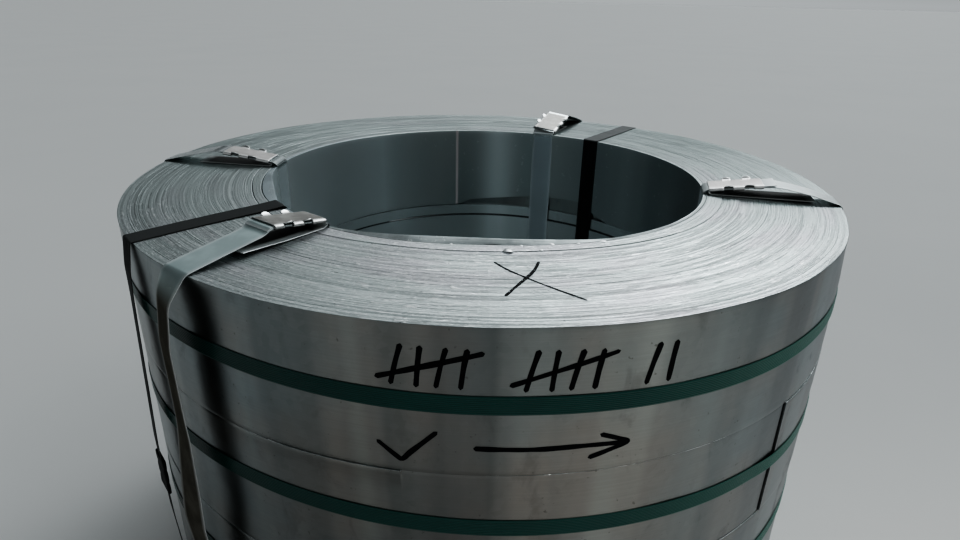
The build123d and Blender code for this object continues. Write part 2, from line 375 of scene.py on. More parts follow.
def lip_steel(name, tone=(0.33, 0.36, 0.36), rough=0.30, patchy=1.0, left=None):
    """The rubbed, slightly raised innermost turns: smooth, with pale scratched patches."""
    g = Graph(name)
    cloud = g.noise(g.xyz, 34.0, 4.0, 0.6)
    scratch = g.remap(g.noise(g.xyz, 210.0, 5.0, 0.7, 0.8), 0.55, 0.66)
    patch = g.remap(g.noise(g.xyz, 22.0, 2.0, 0.5), 0.53, 0.62)
    grain = g.noise(g.xyz, 900.0, 2.0, 0.6)
    col = g.mix(g.remap(cloud, 0.35, 0.65), tone, tuple(0.66 * c for c in tone))
    # painted light: the raised turns are painted paler away from the very front and, at the left, paler still
    if left:
        x, y, z = g.sep(g.xyz)
        col = g.mix(g.remap(y, -0.228, -0.205), col, (0.60, 0.655, 0.65))
        col = g.mix(g.remap(x, -0.16, -0.20), col, left)
    col = g.mix(g.math("MULTIPLY", g.math("MULTIPLY", scratch, patch), 0.85 * patchy), col, (0.92, 0.95, 0.95))
    rgh = g.math("ADD", g.remap(cloud, 0.3, 0.7, rough - 0.02, rough + 0.08), g.math("MULTIPLY", scratch, 0.06))
    nrm = g.bump(grain, 0.15, 0.0002)
    nrm = g.bump(cloud, 0.30, 0.0010, nrm)
    g.set(Base_Color=col, Metallic=1.0, Roughness=rgh, Normal=nrm)
    return g.mat


def strap_steel(name, tint=(0.60, 0.655, 0.66), dull=0.20, spec=0.16, rub=((0.022, 0.020, 0.017), (0.040, 0.037, 0.032)), painted_tone_in_eye=(0.78, 0.86, 0.89), metal_at=1.0):
    """Bright steel strapping; where the dulling attribute rises it is dulled and brownish: on the side runs, and as
    painted shade on the folded ends. Its run down the eye gets a painted tone: lighter as painted light, on the back
    strap darker as painted shade.
    """
    g = Graph(name)
    cloud = g.noise(g.xyz, 26.0, 4.0, 0.6)
    grain = g.noise(g.xyz, 420.0, 3.0, 0.6)
    mark = g.remap(g.noise(g.xyz, 75.0, 5.0, 0.65, 0.4), 0.60, 0.74)
    edge, dulling_and_painted_shade = g.attr("edge"), g.attr("dulling_and_painted_shade")
    x, y, z = g.sep(g.xyz)
    # painted light: the run down the eye is painted lighter and less metallic, and on the back strap darker as painted
    # shade
    inside = g.math("MULTIPLY", g.remap(g.vmath("LENGTH", g.comb(x, y, 0.0)), 0.2541, 0.2537), g.remap(z, TOP * MM, (TOP - 5.0) * MM))
    col = g.mix(g.remap(cloud, 0.35, 0.65), tint, tuple(0.84 * c for c in tint))
    col = g.mix(g.math("MULTIPLY", mark, 0.25), col, (0.26, 0.255, 0.24))
    # the dulling colours: dulling on the side runs, painted shade on the folded ends
    col = g.mix(dulling_and_painted_shade, col, g.mix(g.remap(cloud, 0.35, 0.65), *rub))
    col = g.mix(g.math("MULTIPLY", inside, 0.85), col, painted_tone_in_eye)
    col = g.mix(g.math("MULTIPLY", edge, g.remap(dulling_and_painted_shade, 0.0, 1.0, 0.8, 0.65)), col, (0.84, 0.86, 0.86))
    rough = g.math("ADD", g.remap(cloud, 0.3, 0.7, dull - 0.04, dull + 0.04), g.math("MULTIPLY", mark, 0.02))
    rough = g.math("ADD", rough, g.math("MULTIPLY", dulling_and_painted_shade, 0.14))
    nrm = g.bump(grain, 0.10, 0.0002)
    nrm = g.bump(g.noise(g.xyz, 60.0, 2.0, 0.5), 0.18, 0.0006, nrm)
    metal = g.math("SUBTRACT", metal_at, g.math("MULTIPLY", inside, 0.38))
    metal = g.math("SUBTRACT", metal, g.math("MULTIPLY", dulling_and_painted_shade, 0.97), clamp=True)
    g.set(Base_Color=col, Metallic=metal, Roughness=rough, Normal=nrm)
    g.b.inputs["Specular IOR Level"].default_value = spec
    return g.mat


def seal_steel(name, pale=0.0):
    g = Graph(name)
    cloud = g.noise(g.xyz, 55.0, 4.0, 0.6)
    grain = g.noise(g.xyz, 520.0, 3.0, 0.6)
    edge = g.attr("edge")
    rub = g.remap(g.noise(g.xyz, 150.0, 4.0, 0.6), 0.52, 0.66)
    col = g.mix(g.remap(cloud, 0.35, 0.65), (0.30, 0.285, 0.265), (0.40, 0.39, 0.37))
    col = g.mix(g.math("MULTIPLY", rub, 0.25), col, (0.55, 0.54, 0.52))
    col = g.mix(pale, col, (0.80, 0.76, 0.75))
    col = g.mix(g.math("MULTIPLY", edge, 0.9), col, (0.86, 0.87, 0.86))
    rough = g.math("SUBTRACT", g.remap(cloud, 0.3, 0.7, 0.40, 0.50), g.math("MULTIPLY", edge, 0.11))
    nrm = g.bump(grain, 0.25, 0.0003)
    nrm = g.bump(cloud, 0.30, 0.0008, nrm)
    g.set(Base_Color=col, Metallic=1.0, Roughness=rough, Normal=nrm)
    return g.mat


def black_strapping(name, rough_at=0.50, spec=0.18, film_and_painted_sheen=0.0):
    g = Graph(name)
    cloud = g.noise(g.xyz, 40.0, 4.0, 0.6)
    grain = g.noise(g.xyz, 380.0, 3.0, 0.6)
    scuff = g.remap(g.noise(g.xyz, 120.0, 5.0, 0.7, 0.5), 0.60, 0.75)
    edge = g.attr("edge")
    col = g.mix(g.remap(cloud, 0.35, 0.65), (0.007, 0.0073, 0.008), (0.015, 0.015, 0.016))
    col = g.mix(g.math("MULTIPLY", scuff, 0.4), col, (0.045, 0.043, 0.04))
    col = g.mix(g.math("MULTIPLY", edge, 0.45), col, (0.075, 0.075, 0.07))
    if film_and_painted_sheen:  # a grey film and painted sheen on the run across the top
        up = g.remap(g.sep(g.xyz)[2], (TOP - 1.5) * MM, (TOP + 0.5) * MM, 0.0, film_and_painted_sheen)
        col = g.mix(g.math("MULTIPLY", up, g.math("SUBTRACT", 1.0, g.math("MULTIPLY", edge, 0.9))), col, (0.17, 0.18, 0.178))
    rough = g.remap(cloud, 0.3, 0.7, rough_at, rough_at + 0.12)
    nrm = g.bump(grain, 0.2, 0.0003)
    g.set(Base_Color=col, Metallic=0.0, Roughness=rough, Normal=nrm)
    g.b.inputs["Specular IOR Level"].default_value = spec
    return g.mat


def green_strapping(name):
    g = Graph(name)
    x, y, z = g.sep(g.xyz)
    cloud = g.noise(g.xyz, 12.0, 3.0, 0.6)
    fleck = g.remap(g.noise(g.comb(g.math("MULTIPLY", x, 60.0), g.math("MULTIPLY", y, 60.0), g.math("MULTIPLY", z, 600.0)), detail=3.0, rough=0.6), 0.45, 0.75)
    rib = g.attr("rib")
    col = g.mix(g.remap(cloud, 0.35, 0.65), (0.006, 0.052, 0.042), (0.008, 0.070, 0.056))
    # painted highlight: the rib crests are painted lighter
    col = g.mix(g.math("MULTIPLY", rib, 0.45), col, (0.020, 0.125, 0.105))
    col = g.mix(g.math("MULTIPLY", fleck, 0.25), col, (0.03, 0.11, 0.10))
    # painted shade towards the left, and painted highlight towards the right, strongest on the rib crests
    col = g.mix(g.remap(x, 0.02, -0.26, 0.0, 0.55), col, (0.003, 0.020, 0.017))
    col = g.mix(g.math("MULTIPLY", g.remap(x, 0.08, 0.32, 0.0, 0.56), g.remap(rib, 0.0, 1.0, 0.6, 1.0, smooth=False)), col, (0.055, 0.235, 0.175))
    rough = g.remap(cloud, 0.3, 0.7, 0.28, 0.36)
    nrm = g.bump(fleck, 0.10, 0.0002)
    g.set(Base_Color=col, Metallic=0.0, Roughness=rough, Normal=nrm)
    return g.mat


def marker_ink(name):
    g = Graph(name)
    n = g.noise(g.xyz, 300.0, 3.0, 0.6)
    col = g.mix(g.remap(n, 0.35, 0.65), (0.004, 0.004, 0.0055), (0.011, 0.011, 0.013))
    g.set(Base_Color=col, Metallic=0.0, Roughness=g.remap(n, 0.3, 0.7, 0.55, 0.70), Normal=g.bump(n, 0.1, 0.0001))
    g.b.inputs["Specular IOR Level"].default_value = 0.14
    return g.mat


def pale_floor(name):
    g = Graph(name)
    n = g.noise(g.xyz, 1.3, 4.0, 0.55)
    fine = g.noise(g.xyz, 70.0, 3.0, 0.6)
    col = g.mix(n, (0.66, 0.665, 0.66), (0.71, 0.71, 0.70))
    g.set(Base_Color=col, Roughness=0.75, Normal=g.bump(fine, 0.05, 0.0005))
    g.b.inputs["Specular IOR Level"].default_value = 0.3
    return g.mat


M_WALL = [steel_wall("galvanised_wall_1"), steel_wall("galvanised_wall_2", (0.285, 0.322, 0.33), (0.34, 0.333, 0.318)), steel_wall("galvanised_wall_3"), steel_wall("galvanised_wall_4", (0.28, 0.318, 0.325), (0.335, 0.33, 0.315))]
M_EDGES = turn_edges("slit_turn_edges")
M_EYE = eye_wall("galvanised_eye_wall", end_az=100.5)
M_EYE_2 = eye_wall("galvanised_eye_wall_2", lift=0.38, rough_at=0.18, ledge=TOP - 139.4)
M_LIP = lip_steel("rubbed_inner_turns", left=(0.60, 0.68, 0.71))
M_FLAKE = lip_steel("bright_burr", (0.93, 0.95, 0.95), 0.34, 0.6)
M_STRAP = strap_steel("bright_steel_strapping")
M_STRAP_AT = {
    "front_left": strap_steel("bright_steel_strapping_front_left", (0.50, 0.60, 0.60), spec=0.0, metal_at=0.52, rub=((0.092, 0.087, 0.074), (0.134, 0.128, 0.110))),
    "right": strap_steel("bright_steel_strapping_right", (0.68, 0.72, 0.72), 0.40),
    "back": strap_steel("bright_steel_strapping_back", painted_tone_in_eye=(0.46, 0.53, 0.57)),
    "back_left": M_STRAP,
}
# the front left folded end is a near-white copy, so that its fold and near edge, left undulled, show a painted
# highlight
M_TAIL_AT = dict(M_STRAP_AT, front_left=strap_steel("folded_strap_end_front_left", (0.93, 0.97, 0.96), 0.34, metal_at=0.66))
M_SEAL = seal_steel("crimped_seal_steel")
M_SEAL_AT = {"front_left": M_SEAL, "right": seal_steel("crimped_seal_steel_right", 0.75), "back": M_SEAL, "back_left": seal_steel("crimped_seal_steel_back_left", 0.35)}
# the black straps' top runs get a grey film and painted sheen, the back strap more
M_BLACK = black_strapping("black_strapping", 0.50, 0.10, 0.30)
M_BLACK_BACK = black_strapping("black_strapping_back", 0.42, 0.35, 0.75)
M_GREEN = green_strapping("green_ribbed_strapping")
M_INK = marker_ink("black_marker")
# black standing in for the shade in the slot under the hanging edge of the innermost turns: painted shade
M_PAINTED_SHADE_GAP = black_strapping("painted_shade_between_turns", 0.60, 0.10)
M_FLOOR = pale_floor("pale_floor")


# ---------------------------------------------------------------- the coils
# radii of the top coil's edge at the eye and of the two thin gaps between its loose inner turns
EDGE_AT = [(-180, 254), (-177, 254), (-172, 252.2), (-165.4, 248.9), (-160, 247.8), (-155.8, 248.0), (-151, 250.2), (-147.3, 252.6), (-143, 254),
           (-123.5, 254), (-116.7, 250.8), (-108.2, 245.2), (-101.8, 241.4), (-95.3, 239.2), (-90.8, 239.0), (-86.4, 239.7), (-82.1, 240.8), (-73.6, 244.6),
           (-67.7, 249.4), (-60.6, 251.4), (-52, 252.6), (-44, 253.5), (-35, 254), (60, 254)]
GAP_B_AT = [(-180, 258.8), (-174, 259.2), (-161, 260.4), (-155, 261.5), (-149, 261.9), (-144, 261.0), (-135, 259.5), (-121, 257.6), (-111, 255.2),
            (-100.6, 251.9), (-95, 250.1), (-90, 249.0), (-84, 250.0), (-77, 251.6), (-71.5, 253.0), (-66, 254.8), (-58, 256.4), (-48, 257.4), (0, 258), (90, 258)]
GAP_A_AT = [(-180, 272), (-170, 271), (-161, 270.3), (-156, 270.8), (-150, 272), (-140, 273.4), (-122, 273.8), (-113, 269.6), (-105.5, 266.6), (-98, 265.1),
            (-90, 264.3), (-80, 264.1), (-72, 265.6), (-63.6, 268.2), (-54, 271.2), (-44, 273.4), (-30, 274.2), (0, 274.5), (60, 274), (120, 273), (168, 272.4)]


def inner_lift(az):
    """How far the edge of the innermost turns stands up at the eye, at the front and a little on the left."""
    return 3.0 * hump(az, -122.5, -62.0, 1.0) + 1.1 * hump(az, -178.0, -144.0, 1.3)


class Coil:
    """One coil: an outer wall, the wall of the eye, and ends with their turns."""

    def __init__(self, level, seed):
        self.level = level
        self.top = TOP - level * WIDTH
        self.bottom = self.top - WIDTH
        rng = np.random.default_rng(seed)
        self.w1, self.w2, self.w3 = wave(rng, 2, 7, 1.0), wave(rng, 6, 22, 0.7), wave(rng, 14, 40, 0.6)
        self.i1, self.i2 = wave(rng, 3, 9, 1.0), wave(rng, 8, 26, 0.7)
        self.tilt = rng.uniform(0.2, 0.5)
        self.dents = [(rng.uniform(-180, 180), rng.uniform(15, 107), rng.uniform(7, 16), rng.uniform(0.10, 0.28)) for _ in range(14)]

    def outer(self, az, h):
        """Radius of the outer wall at azimuth az, h mm below the coil's top."""
        t = h / WIDTH
        d = 0.22 * self.w1(az) + 0.10 * self.w2(az) * (1.2 - t) + 0.05 * self.w3(az) * (0.4 + t)
        d = d + 0.06 * self.w2(np.asarray(az) + 40 * t)
        for a, hh, s, depth in self.dents:
            da = (np.mod(np.asarray(az) - a + 180, 360) - 180) * RAD * R_OUT
            d = d - depth * np.exp(-(da ** 2 + (h - hh) ** 2) / (2 * s * s))
        d = d - (1.0 + (3.0 * (1 - smoothstep(h, 0.0, 55.0)) if self.level == 0 else 0.0)) * hump(az, -50.0, 24.0)  # a little flat at the right
        if self.level == 1:
            turn = np.mod(np.asarray(az) + 48.0, 360.0)
            lip = 0.5 * np.exp(-turn / 1.6)
            d = d - 0.55 + 0.95 * (1 - turn / 360.0) + lip
            near = np.abs(np.mod(np.asarray(az) + 48.0 + 180, 360) - 180)
            d = np.where(near < 0.2, -2.6, d)
            bent = smoothstep(az, -124.0, -110.0) * (np.asarray(az) > -135) * (np.asarray(az) < -98.0)
            d = d + 1.9 * bent * (1 - smoothstep(h, 0.0, 15.0))
        return R_OUT + d

    def inner(self, az, h):
        t = h / WIDTH
        d = 0.14 * self.i1(az) + 0.07 * self.i2(az) * (1.1 - t)
        end = {0: 100.5, 1: 63.0, 2: 150.0, 3: 20.0}[self.level]
        turn = np.mod(end - np.asarray(az), 360.0)
        d = d + 0.55 * (1 - turn / 360.0) + 0.75 * np.exp(-turn / 0.9)
        set_back = 0.0
        if self.level == 1:  # its top edge lies back from the eye along the joint with the top coil
            set_back = 2.4 * hump(az, 28.0, 128.0, 0.3) * (1 - smoothstep(h, 16.6, 17.6))
        return R_EYE - np.clip(d, -0.5, 1.1) + set_back


COILS = [Coil(0, 11), Coil(1, 23), Coil(2, 37), Coil(3, 53)]


def ring_list(rng, r0, r1, mean, lo, hi):
    w = []
    while sum(w) < r1 - r0:
        w.append(float(np.clip(rng.lognormal(math.log(mean), 0.42), lo, hi)))
    w = np.array(w)
    return r0 + np.concatenate([[0], np.cumsum(w)]) * (r1 - r0) / w.sum()


def end_relief(rng, r0, r1, az, mean, lo=0.8, hi=3.4, rise=0.085, depth=0.20, deep=()):
    """Radii and heights of the turns on a coil's end: a flat top for each small group of turns and a groove after each."""
    b = ring_list(rng, r0, r1, mean, lo, hi)
    n = len(b) - 1
    slow = np.cumsum(rng.normal(size=n) * 0.5)
    slow = np.convolve(slow - slow.mean(), np.ones(5) / 5, "same")
    slow = slow / (np.abs(slow).max() + 1e-9)
    base = -rise * (0.9 + 0.6 * slow + 0.55 * rng.normal(size=n)).clip(0.05, 2.6)
    wob = wave(rng, 1, 5, 0.8)(az) * 0.35
    R, H = [], []
    for i in range(n):
        f, q = wave(rng, 1, 7, 0.6), wave(rng, 3, 24, 0.3)
        h = base[i] + 0.28 * rise * f(az)
        g0 = rng.uniform(0.12, 0.24)
        dd = depth * (0.25 + 0.75 * rng.random()) * np.clip(0.55 + 0.55 * q(az), 0.04, 1.5)
        if rng.random() < 0.085:  # here and there a gap that shows
            dd = (0.55 + 0.35 * rng.random()) * np.clip(0.65 + 0.5 * q(az), 0.12, 1.2)
        if any(b[i + 1] - 1.5 < x <= b[i + 1] + 1.5 for x in deep):
            g0, dd = 0.55, 3.6 * np.clip(0.75 + 0.25 * q(az), 0.2, 1.3)
        R += [b[i] + g0 + wob, b[i + 1] - g0 + wob]
        H += [h, h + 0.06 * rng.normal()]
        if i < n - 1:
            R.append(b[i + 1] + wob)
            H.append(np.minimum(h, base[i + 1]) - dd)
    R, H = np.stack([np.broadcast_to(v, az.shape) for v in R], 1), np.stack([np.broadcast_to(v, az.shape) for v in H], 1)
    return R, H


def shell(name, az, R, Z, is_end, wall, eye=None):
    """A closed ring from a loop of profile points at each azimuth; is_end tells which profile spans are coil ends."""
    verts = cyl(R, az[:, None], Z)
    nu, nv = R.shape
    faces = grid_faces(nu, nv, True, True)
    mats = np.tile(np.asarray(is_end, int), nu)
    f2 = outward(verts.reshape(-1, 3), faces)
    ob = mesh_object(name, verts, f2, [wall, M_EDGES, eye or M_EYE, M_LIP, M_PAINTED_SHADE_GAP], mats)
    return ob


def azimuths(n, extra=()):
    a = list(np.linspace(-180, 180, n, endpoint=False))
    for c, half in extra:
        a += [c - half * 1.25, c - half, c + half, c + half * 1.25, c - half * 2.5, c + half * 2.5, c + half * 5]
    return np.array(sorted(set(np.round(a, 4))))


def wall_rows(n=13):
    """Depths below a coil's top down its wall, closer together near the edges."""
    t = np.linspace(0, 1, n)
    t = t - 0.10 * np.sin(2 * math.pi * t)
    return 0.55 + t * (WIDTH - 1.10)


def build_coil(c, az, r_in=None, mean=1.95, deep=(), seed=5, name=None, rows=13, bottom_mean=None):
    """The main body of a coil. With r_in, it starts there instead of at the eye."""
    rng = np.random.default_rng(seed)
    rows = wall_rows(rows)
    eye_rows = np.array(sorted(list(rows) + [16.4, 17.2, 17.9])) if c.level == 1 else rows
    start = r_in or R_EYE
    R, Z, E = [], [], []

    def add(r, z, end):
        R.append(np.broadcast_to(r, az.shape))
        Z.append(np.broadcast_to(z, az.shape))
        E.append(end)

    def bore(h):
        if r_in:
            return r_in + 0.0 * az
        return c.inner(az, h)

    for h in eye_rows[::-1]:  # up the wall of the eye
        add(bore(h), c.top - h, 2)
    add(bore(0) + 0.10, c.top - 0.18, 2)
    TR, TH = end_relief(rng, start + 0.35, R_OUT - 0.45, az, mean, deep=deep)
    TR = TR + (c.outer(az, 0.0) - R_OUT)[:, None] * smoothstep(TR, 335.0, R_OUT)
    if c.level == 0:  # the turns lie more evenly at the left
        TH = TH * (1 - 0.65 * hump(az, 146.0, 226.0, 0.5))[:, None]
    for j in range(TR.shape[1]):
        add(TR[:, j], c.top + TH[:, j], 1)
    out0 = c.outer(az, 0.0)
    add(out0 - 0.42, c.top - 0.03, 1)
    add(out0 - 0.10, c.top - 0.20, 0)
    for h in rows:  # down the outer wall
        add(c.outer(az, h), c.top - h, 0)
    outb = c.outer(az, WIDTH)
    add(outb - 0.12, c.bottom + 0.20, 0)
    add(outb - 0.45, c.bottom + 0.03, 1)
    if bottom_mean:
        BR, BH = end_relief(np.random.default_rng(seed + 99), start + 0.4, R_OUT - 0.9, az, bottom_mean)
        BR = BR + (outb - R_OUT)[:, None] * smoothstep(BR, 335.0, R_OUT)
        for j in range(BR.shape[1])[::-1]:
            add(BR[:, j], c.bottom - BH[:, j], 1)
    else:
        add(0.5 * (start + R_OUT) + 0 * az, c.bottom + 0.05, 1)
        add(bore(WIDTH) + 0.45, c.bottom + 0.03, 1)
    add(bore(WIDTH) + 0.10, c.bottom + 0.20, 2)
    R, Z = np.stack(R, 1), np.stack(Z, 1)
    return R, Z, np.array(E)


# top coil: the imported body, outside the loose turns
c0 = COILS[0]
AZ0 = azimuths(354, ((100.5, 0.12),))
GAP_A, GAP_B = 274.5, 258.5
R, Z, E = build_coil(c0, AZ0, r_in=GAP_A, mean=1.55, deep=(), seed=5)
give = (GAP_A - round_the_eye(GAP_A_AT, AZ0))[:, None] * (1 - smoothstep(R, 274.0, 322.0))
R = R - give
coil_1 = shell("slit_coil_1_body", AZ0, R, Z, E, M_WALL[0])
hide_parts("slit_coil_1")


def hanging_clear(az):
    """How far the lower edge of the innermost turns hangs above the coil below; it rises from the strip's end towards the right."""
    return np.interp(az, [42, 47, 54, 60, 72, 84, 95.5, 98.5, 101.5, 110, 135, 150], [0.0, 6.0, 22.5, 22.5, 19.5, 13.0, 8.5, 2.6, 0.3, 0.8, 0.7, 0.0], left=0.0, right=0.0)


def loose_turns(name, b_in, b_out, lift, seed, n_grooves, top_index, lean=0.0):
    """A ring of loose turns between the radii b_in and b_out (one value an azimuth); lift stands its inner edge up."""
    rng = np.random.default_rng(seed)
    az = AZ0
    rows = wall_rows(9)
    R, Z, E = [], [], []

    def add(r, z, end):
        R.append(np.broadcast_to(r, az.shape))
        Z.append(np.broadcast_to(z, az.shape))
        E.append(end)

    w = b_out - b_in
    clear = hanging_clear(az)
    under = clear if lean else 0.0 * az
    if lean:
        for h in rows[::-1]:
            back = lean * (R_EYE - np.minimum(b_in, R_EYE)) * (h / WIDTH)
            add(b_in + back, c0.top + lift * (1 - h / WIDTH) - h + under * h / WIDTH, 2)
    else:  # these turns lie back from the edge that hangs clear before them
        e = WIDTH - clear
        slot = 10.0 * smoothstep(clear, 0.8, 4.0)
        add(b_in, c0.top - (WIDTH - 0.55), 2)
        add(b_in, c0.top - np.minimum(e + 4.2, 121.2), 2)
        # the slot's faces get the black material that stands in for shade: painted shade
        E[-1] = 4
        add(b_in + slot, c0.top - np.minimum(e + 6.2, 121.1), 4)
        add(b_in + slot, c0.top - np.minimum(e - 4.0, 120.0), 4)
        add(b_in, c0.top - np.minimum(e - 4.2, 119.5), 0)
        for q in (0.8, 0.6, 0.4, 0.2, 0.06, 0.0046):
            add(b_in, c0.top - (e - 5.0) * q, 2)
    add(b_in + 0.05, c0.top + lift - 0.30, top_index)
    add(b_in + 0.22, c0.top + lift - 0.08, top_index)
    add(b_in + 0.45, c0.top + lift, top_index)
    # the top, with a few thin grooves
    at = np.sort(rng.uniform(0.16, 0.9, n_grooves))
    t_all = np.array(sorted(set([0.12, 0.2, 0.35, 0.5, 0.65, 0.8, 0.92] + [float(x + d) for x in at for d in (-0.012, 0.0, 0.012)])))
    wob = [wave(rng, 2, 12, 0.4)(az) for _ in at]
    slow = wave(rng, 1, 6, 0.8)(az)
    for t in t_all:
        z = c0.top + lift * (1 - t) ** 0.9 + 0.05 * slow
        for x, q in zip(at, wob):
            if abs(t - x) < 1e-9:
                z = z - 0.22 * np.clip(0.6 + 0.6 * q, 0.05, 1.4)
        add(b_in + 0.45 + t * (w - 0.9), z, top_index)
    add(b_out - 0.14, c0.top - 0.02, top_index)
    add(b_out, c0.top - 0.20, 0)
    for h in rows:
        add(b_out, c0.top - h, 0)
    add(b_out - 0.1, c0.top - WIDTH + 0.15, 0)
    add(0.5 * (b_out + b_in), c0.top - WIDTH + under, 1)
    add(b_in + lean * (R_EYE - np.minimum(b_in, R_EYE)) + 0.1, c0.top - WIDTH + 0.15 + under, 2)
    R, Z = np.stack(R, 1), np.stack(Z, 1)
    return shell(name, az, R, Z, np.array(E), M_WALL[0], eye=None if lean else M_EYE_2)


def gap_a(az):
    return 0.30 + 0.95 * hump(az, -126, -48, 0.4) + 0.55 * hump(az, 188, 217, 1.0)


def gap_b(az):
    return 0.22 + 1.05 * hump(az, -126, -58, 0.4) + 0.85 * hump(az, 185, 216, 1.0)


edge_r = round_the_eye(EDGE_AT, AZ0) - (R_EYE - c0.inner(AZ0, 30.0))
r_b, r_a = round_the_eye(GAP_B_AT, AZ0), round_the_eye(GAP_A_AT, AZ0)
mid_turns = loose_turns("slit_coil_1_loose_turns", r_b, r_a - gap_a(AZ0), 0.35 * hump(AZ0, -122, -58), 71, 7, 1)
inner_turns = loose_turns("slit_coil_1_inner_turns", edge_r, r_b - gap_b(AZ0), inner_lift(AZ0), 83, 1, 3, lean=0.55)
for o in (mid_turns, inner_turns):
    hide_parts("slit_coil_1")

# the three coils under it
lower = []
for level, n_az, mean, bottom in ((1, 360, 3.6, None), (2, 300, 9.0, None), (3, 300, 9.0, 2.7)):
    c = COILS[level]
    extra = ((-48.0, 0.2), (-98.0, 0.15)) if level == 1 else ()
    az = azimuths(n_az, extra)
    R, Z, E = build_coil(c, az, mean=mean, seed=100 + level, bottom_mean=bottom, rows=15)
    ob = shell(f"slit_coil_{level + 1}_turned", az, R, Z, E, M_WALL[level], eye=M_EYE_2)
    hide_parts(f"slit_coil_{level + 1}")
    lower.append(ob)


# ---------------------------------------------------------------- green bands
BAND_LEVEL = [(-62.9, -5.0, -2.5), (-190.0, -10.0, -19.0), (-301.0, -4.0, -7.0), (-427.0, 3.0, 2.0)]


def green_band(i):
    mid, c1, s1 = BAND_LEVEL[i]
    coil = COILS[i]
    az = np.linspace(-180, 180, 400, endpoint=False)
    a = az * RAD
    rng = np.random.default_rng(300 + i)
    level = TOP + mid + c1 * np.cos(a) + s1 * np.sin(a) + 0.35 * wave(rng, 2, 9, 0.8)(az)
    width = 15.0
    pts, rib = [], []
    n_rib = 9
    pts.append((-width / 2, 0.05)); rib.append(0.3)
    pts.append((-width / 2, 0.55)); rib.append(0.8)
    step = (width - 0.8) / n_rib
    for k in range(n_rib):
        s = -width / 2 + 0.4 + k * step
        pts += [(s + 0.10 * step, 0.62), (s + 0.34 * step, 0.92), (s + 0.66 * step, 0.92), (s + 0.90 * step, 0.62)]
        rib += [0.0, 1.0, 1.0, 0.0]
    pts.append((width / 2, 0.55)); rib.append(0.8)
    pts.append((width / 2, 0.05)); rib.append(0.3)
    pts = np.array(pts)
    depth = coil.top - level
    wall = coil.outer(az, 68.0)
    over = np.max([np.roll(wall, k) for k in range(-3, 4)], axis=0)  # stretched over the strip's end
    flat = np.mean([np.roll(over, k) for k in (-2, -1, 0, 1, 2)], axis=0)
    r = flat[:, None] + 0.08 + pts[None, :, 1]
    z = level[:, None] + pts[None, :, 0]
    verts = cyl(r, az[:, None], z)
    faces = grid_faces(len(az), len(pts), True, True)
    faces = outward(verts.reshape(-1, 3), faces)
    ob = mesh_object(f"green_band_{i + 1}_ribbed", verts, faces, [M_GREEN], smooth=50.0, attrs={"rib": np.tile(rib, len(az))})
    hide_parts(f"green_band_{i + 1}")
    return ob


bands = [green_band(i) for i in range(4)]


# ---------------------------------------------------------------- straps
def route(points):
    """Points (u, z, radius) to a dense line with round corners, and its normals to the left."""
    P = [np.array(p[:2], float) for p in points]
    rad = [p[2] if len(p) > 2 else 0.0 for p in points]
    out = [P[0]]
    for i in range(1, len(P) - 1):
        a, b, c = P[i - 1], P[i], P[i + 1]
        d1, d2 = (a - b) / np.linalg.norm(a - b), (c - b) / np.linalg.norm(c - b)
        ang = math.acos(float(np.clip(d1 @ d2, -1, 1)))
        if rad[i] <= 0 or math.pi - ang < 1e-3:
            out.append(b)
            continue
        t = min(rad[i] / math.tan(ang / 2), 0.49 * np.linalg.norm(a - b), 0.49 * np.linalg.norm(c - b))
        r = t * math.tan(ang / 2)
        p1, p2 = b + d1 * t, b + d2 * t
        bis = (d1 + d2) / np.linalg.norm(d1 + d2)
        o = b + bis * math.hypot(r, t)
        a1, a2 = math.atan2(*(p1 - o)[::-1]), math.atan2(*(p2 - o)[::-1])
        da = (a2 - a1 + math.pi) % (2 * math.pi) - math.pi
        k = max(2, int(math.degrees(abs(da)) / 9) + 1)
        for q in np.linspace(0, 1, k + 1):
            w = a1 + da * q
            out.append(o + r * np.array([math.cos(w), math.sin(w)]))
    out.append(P[-1])
    dense = [out[0]]
    for p in out[1:]:
        d = np.linalg.norm(p - dense[-1])
        if d < 1e-4:
            continue
        m = max(1, int(d / 9.0))
        prev = dense[-1]
        for k in range(1, m + 1):
            dense.append(prev + (p - prev) * k / m)
    L = np.array(dense)
    T = np.gradient(L, axis=0)
    T /= np.linalg.norm(T, axis=1)[:, None] + 1e-12
    N = np.stack([-T[:, 1], T[:, 0]], 1)
    return L, N


def strap_section(width, thick, crown=0.0):
    w, b = width / 2, min(0.22, thick * 0.3)
    s = np.array([-w, -w + b, -0.72 * w, -0.36 * w, 0.0, 0.36 * w, 0.72 * w, w - b, w])
    bottom = [(x, crown * (1 - (x / w) ** 2)) for x in s[1:-1]]
    low = [(-w, b)] + bottom + [(w, b)]
    high = [(w, thick - b)] + [(x, y + thick) for x, y in bottom[::-1]] + [(-w, thick - b)]
    sec = np.array(low + high)
    edge = np.array([1.0, 0.55] + [0.0] * 5 + [0.55, 1.0] + [1.0, 0.55] + [0.0] * 5 + [0.55, 1.0])
    return sec, edge


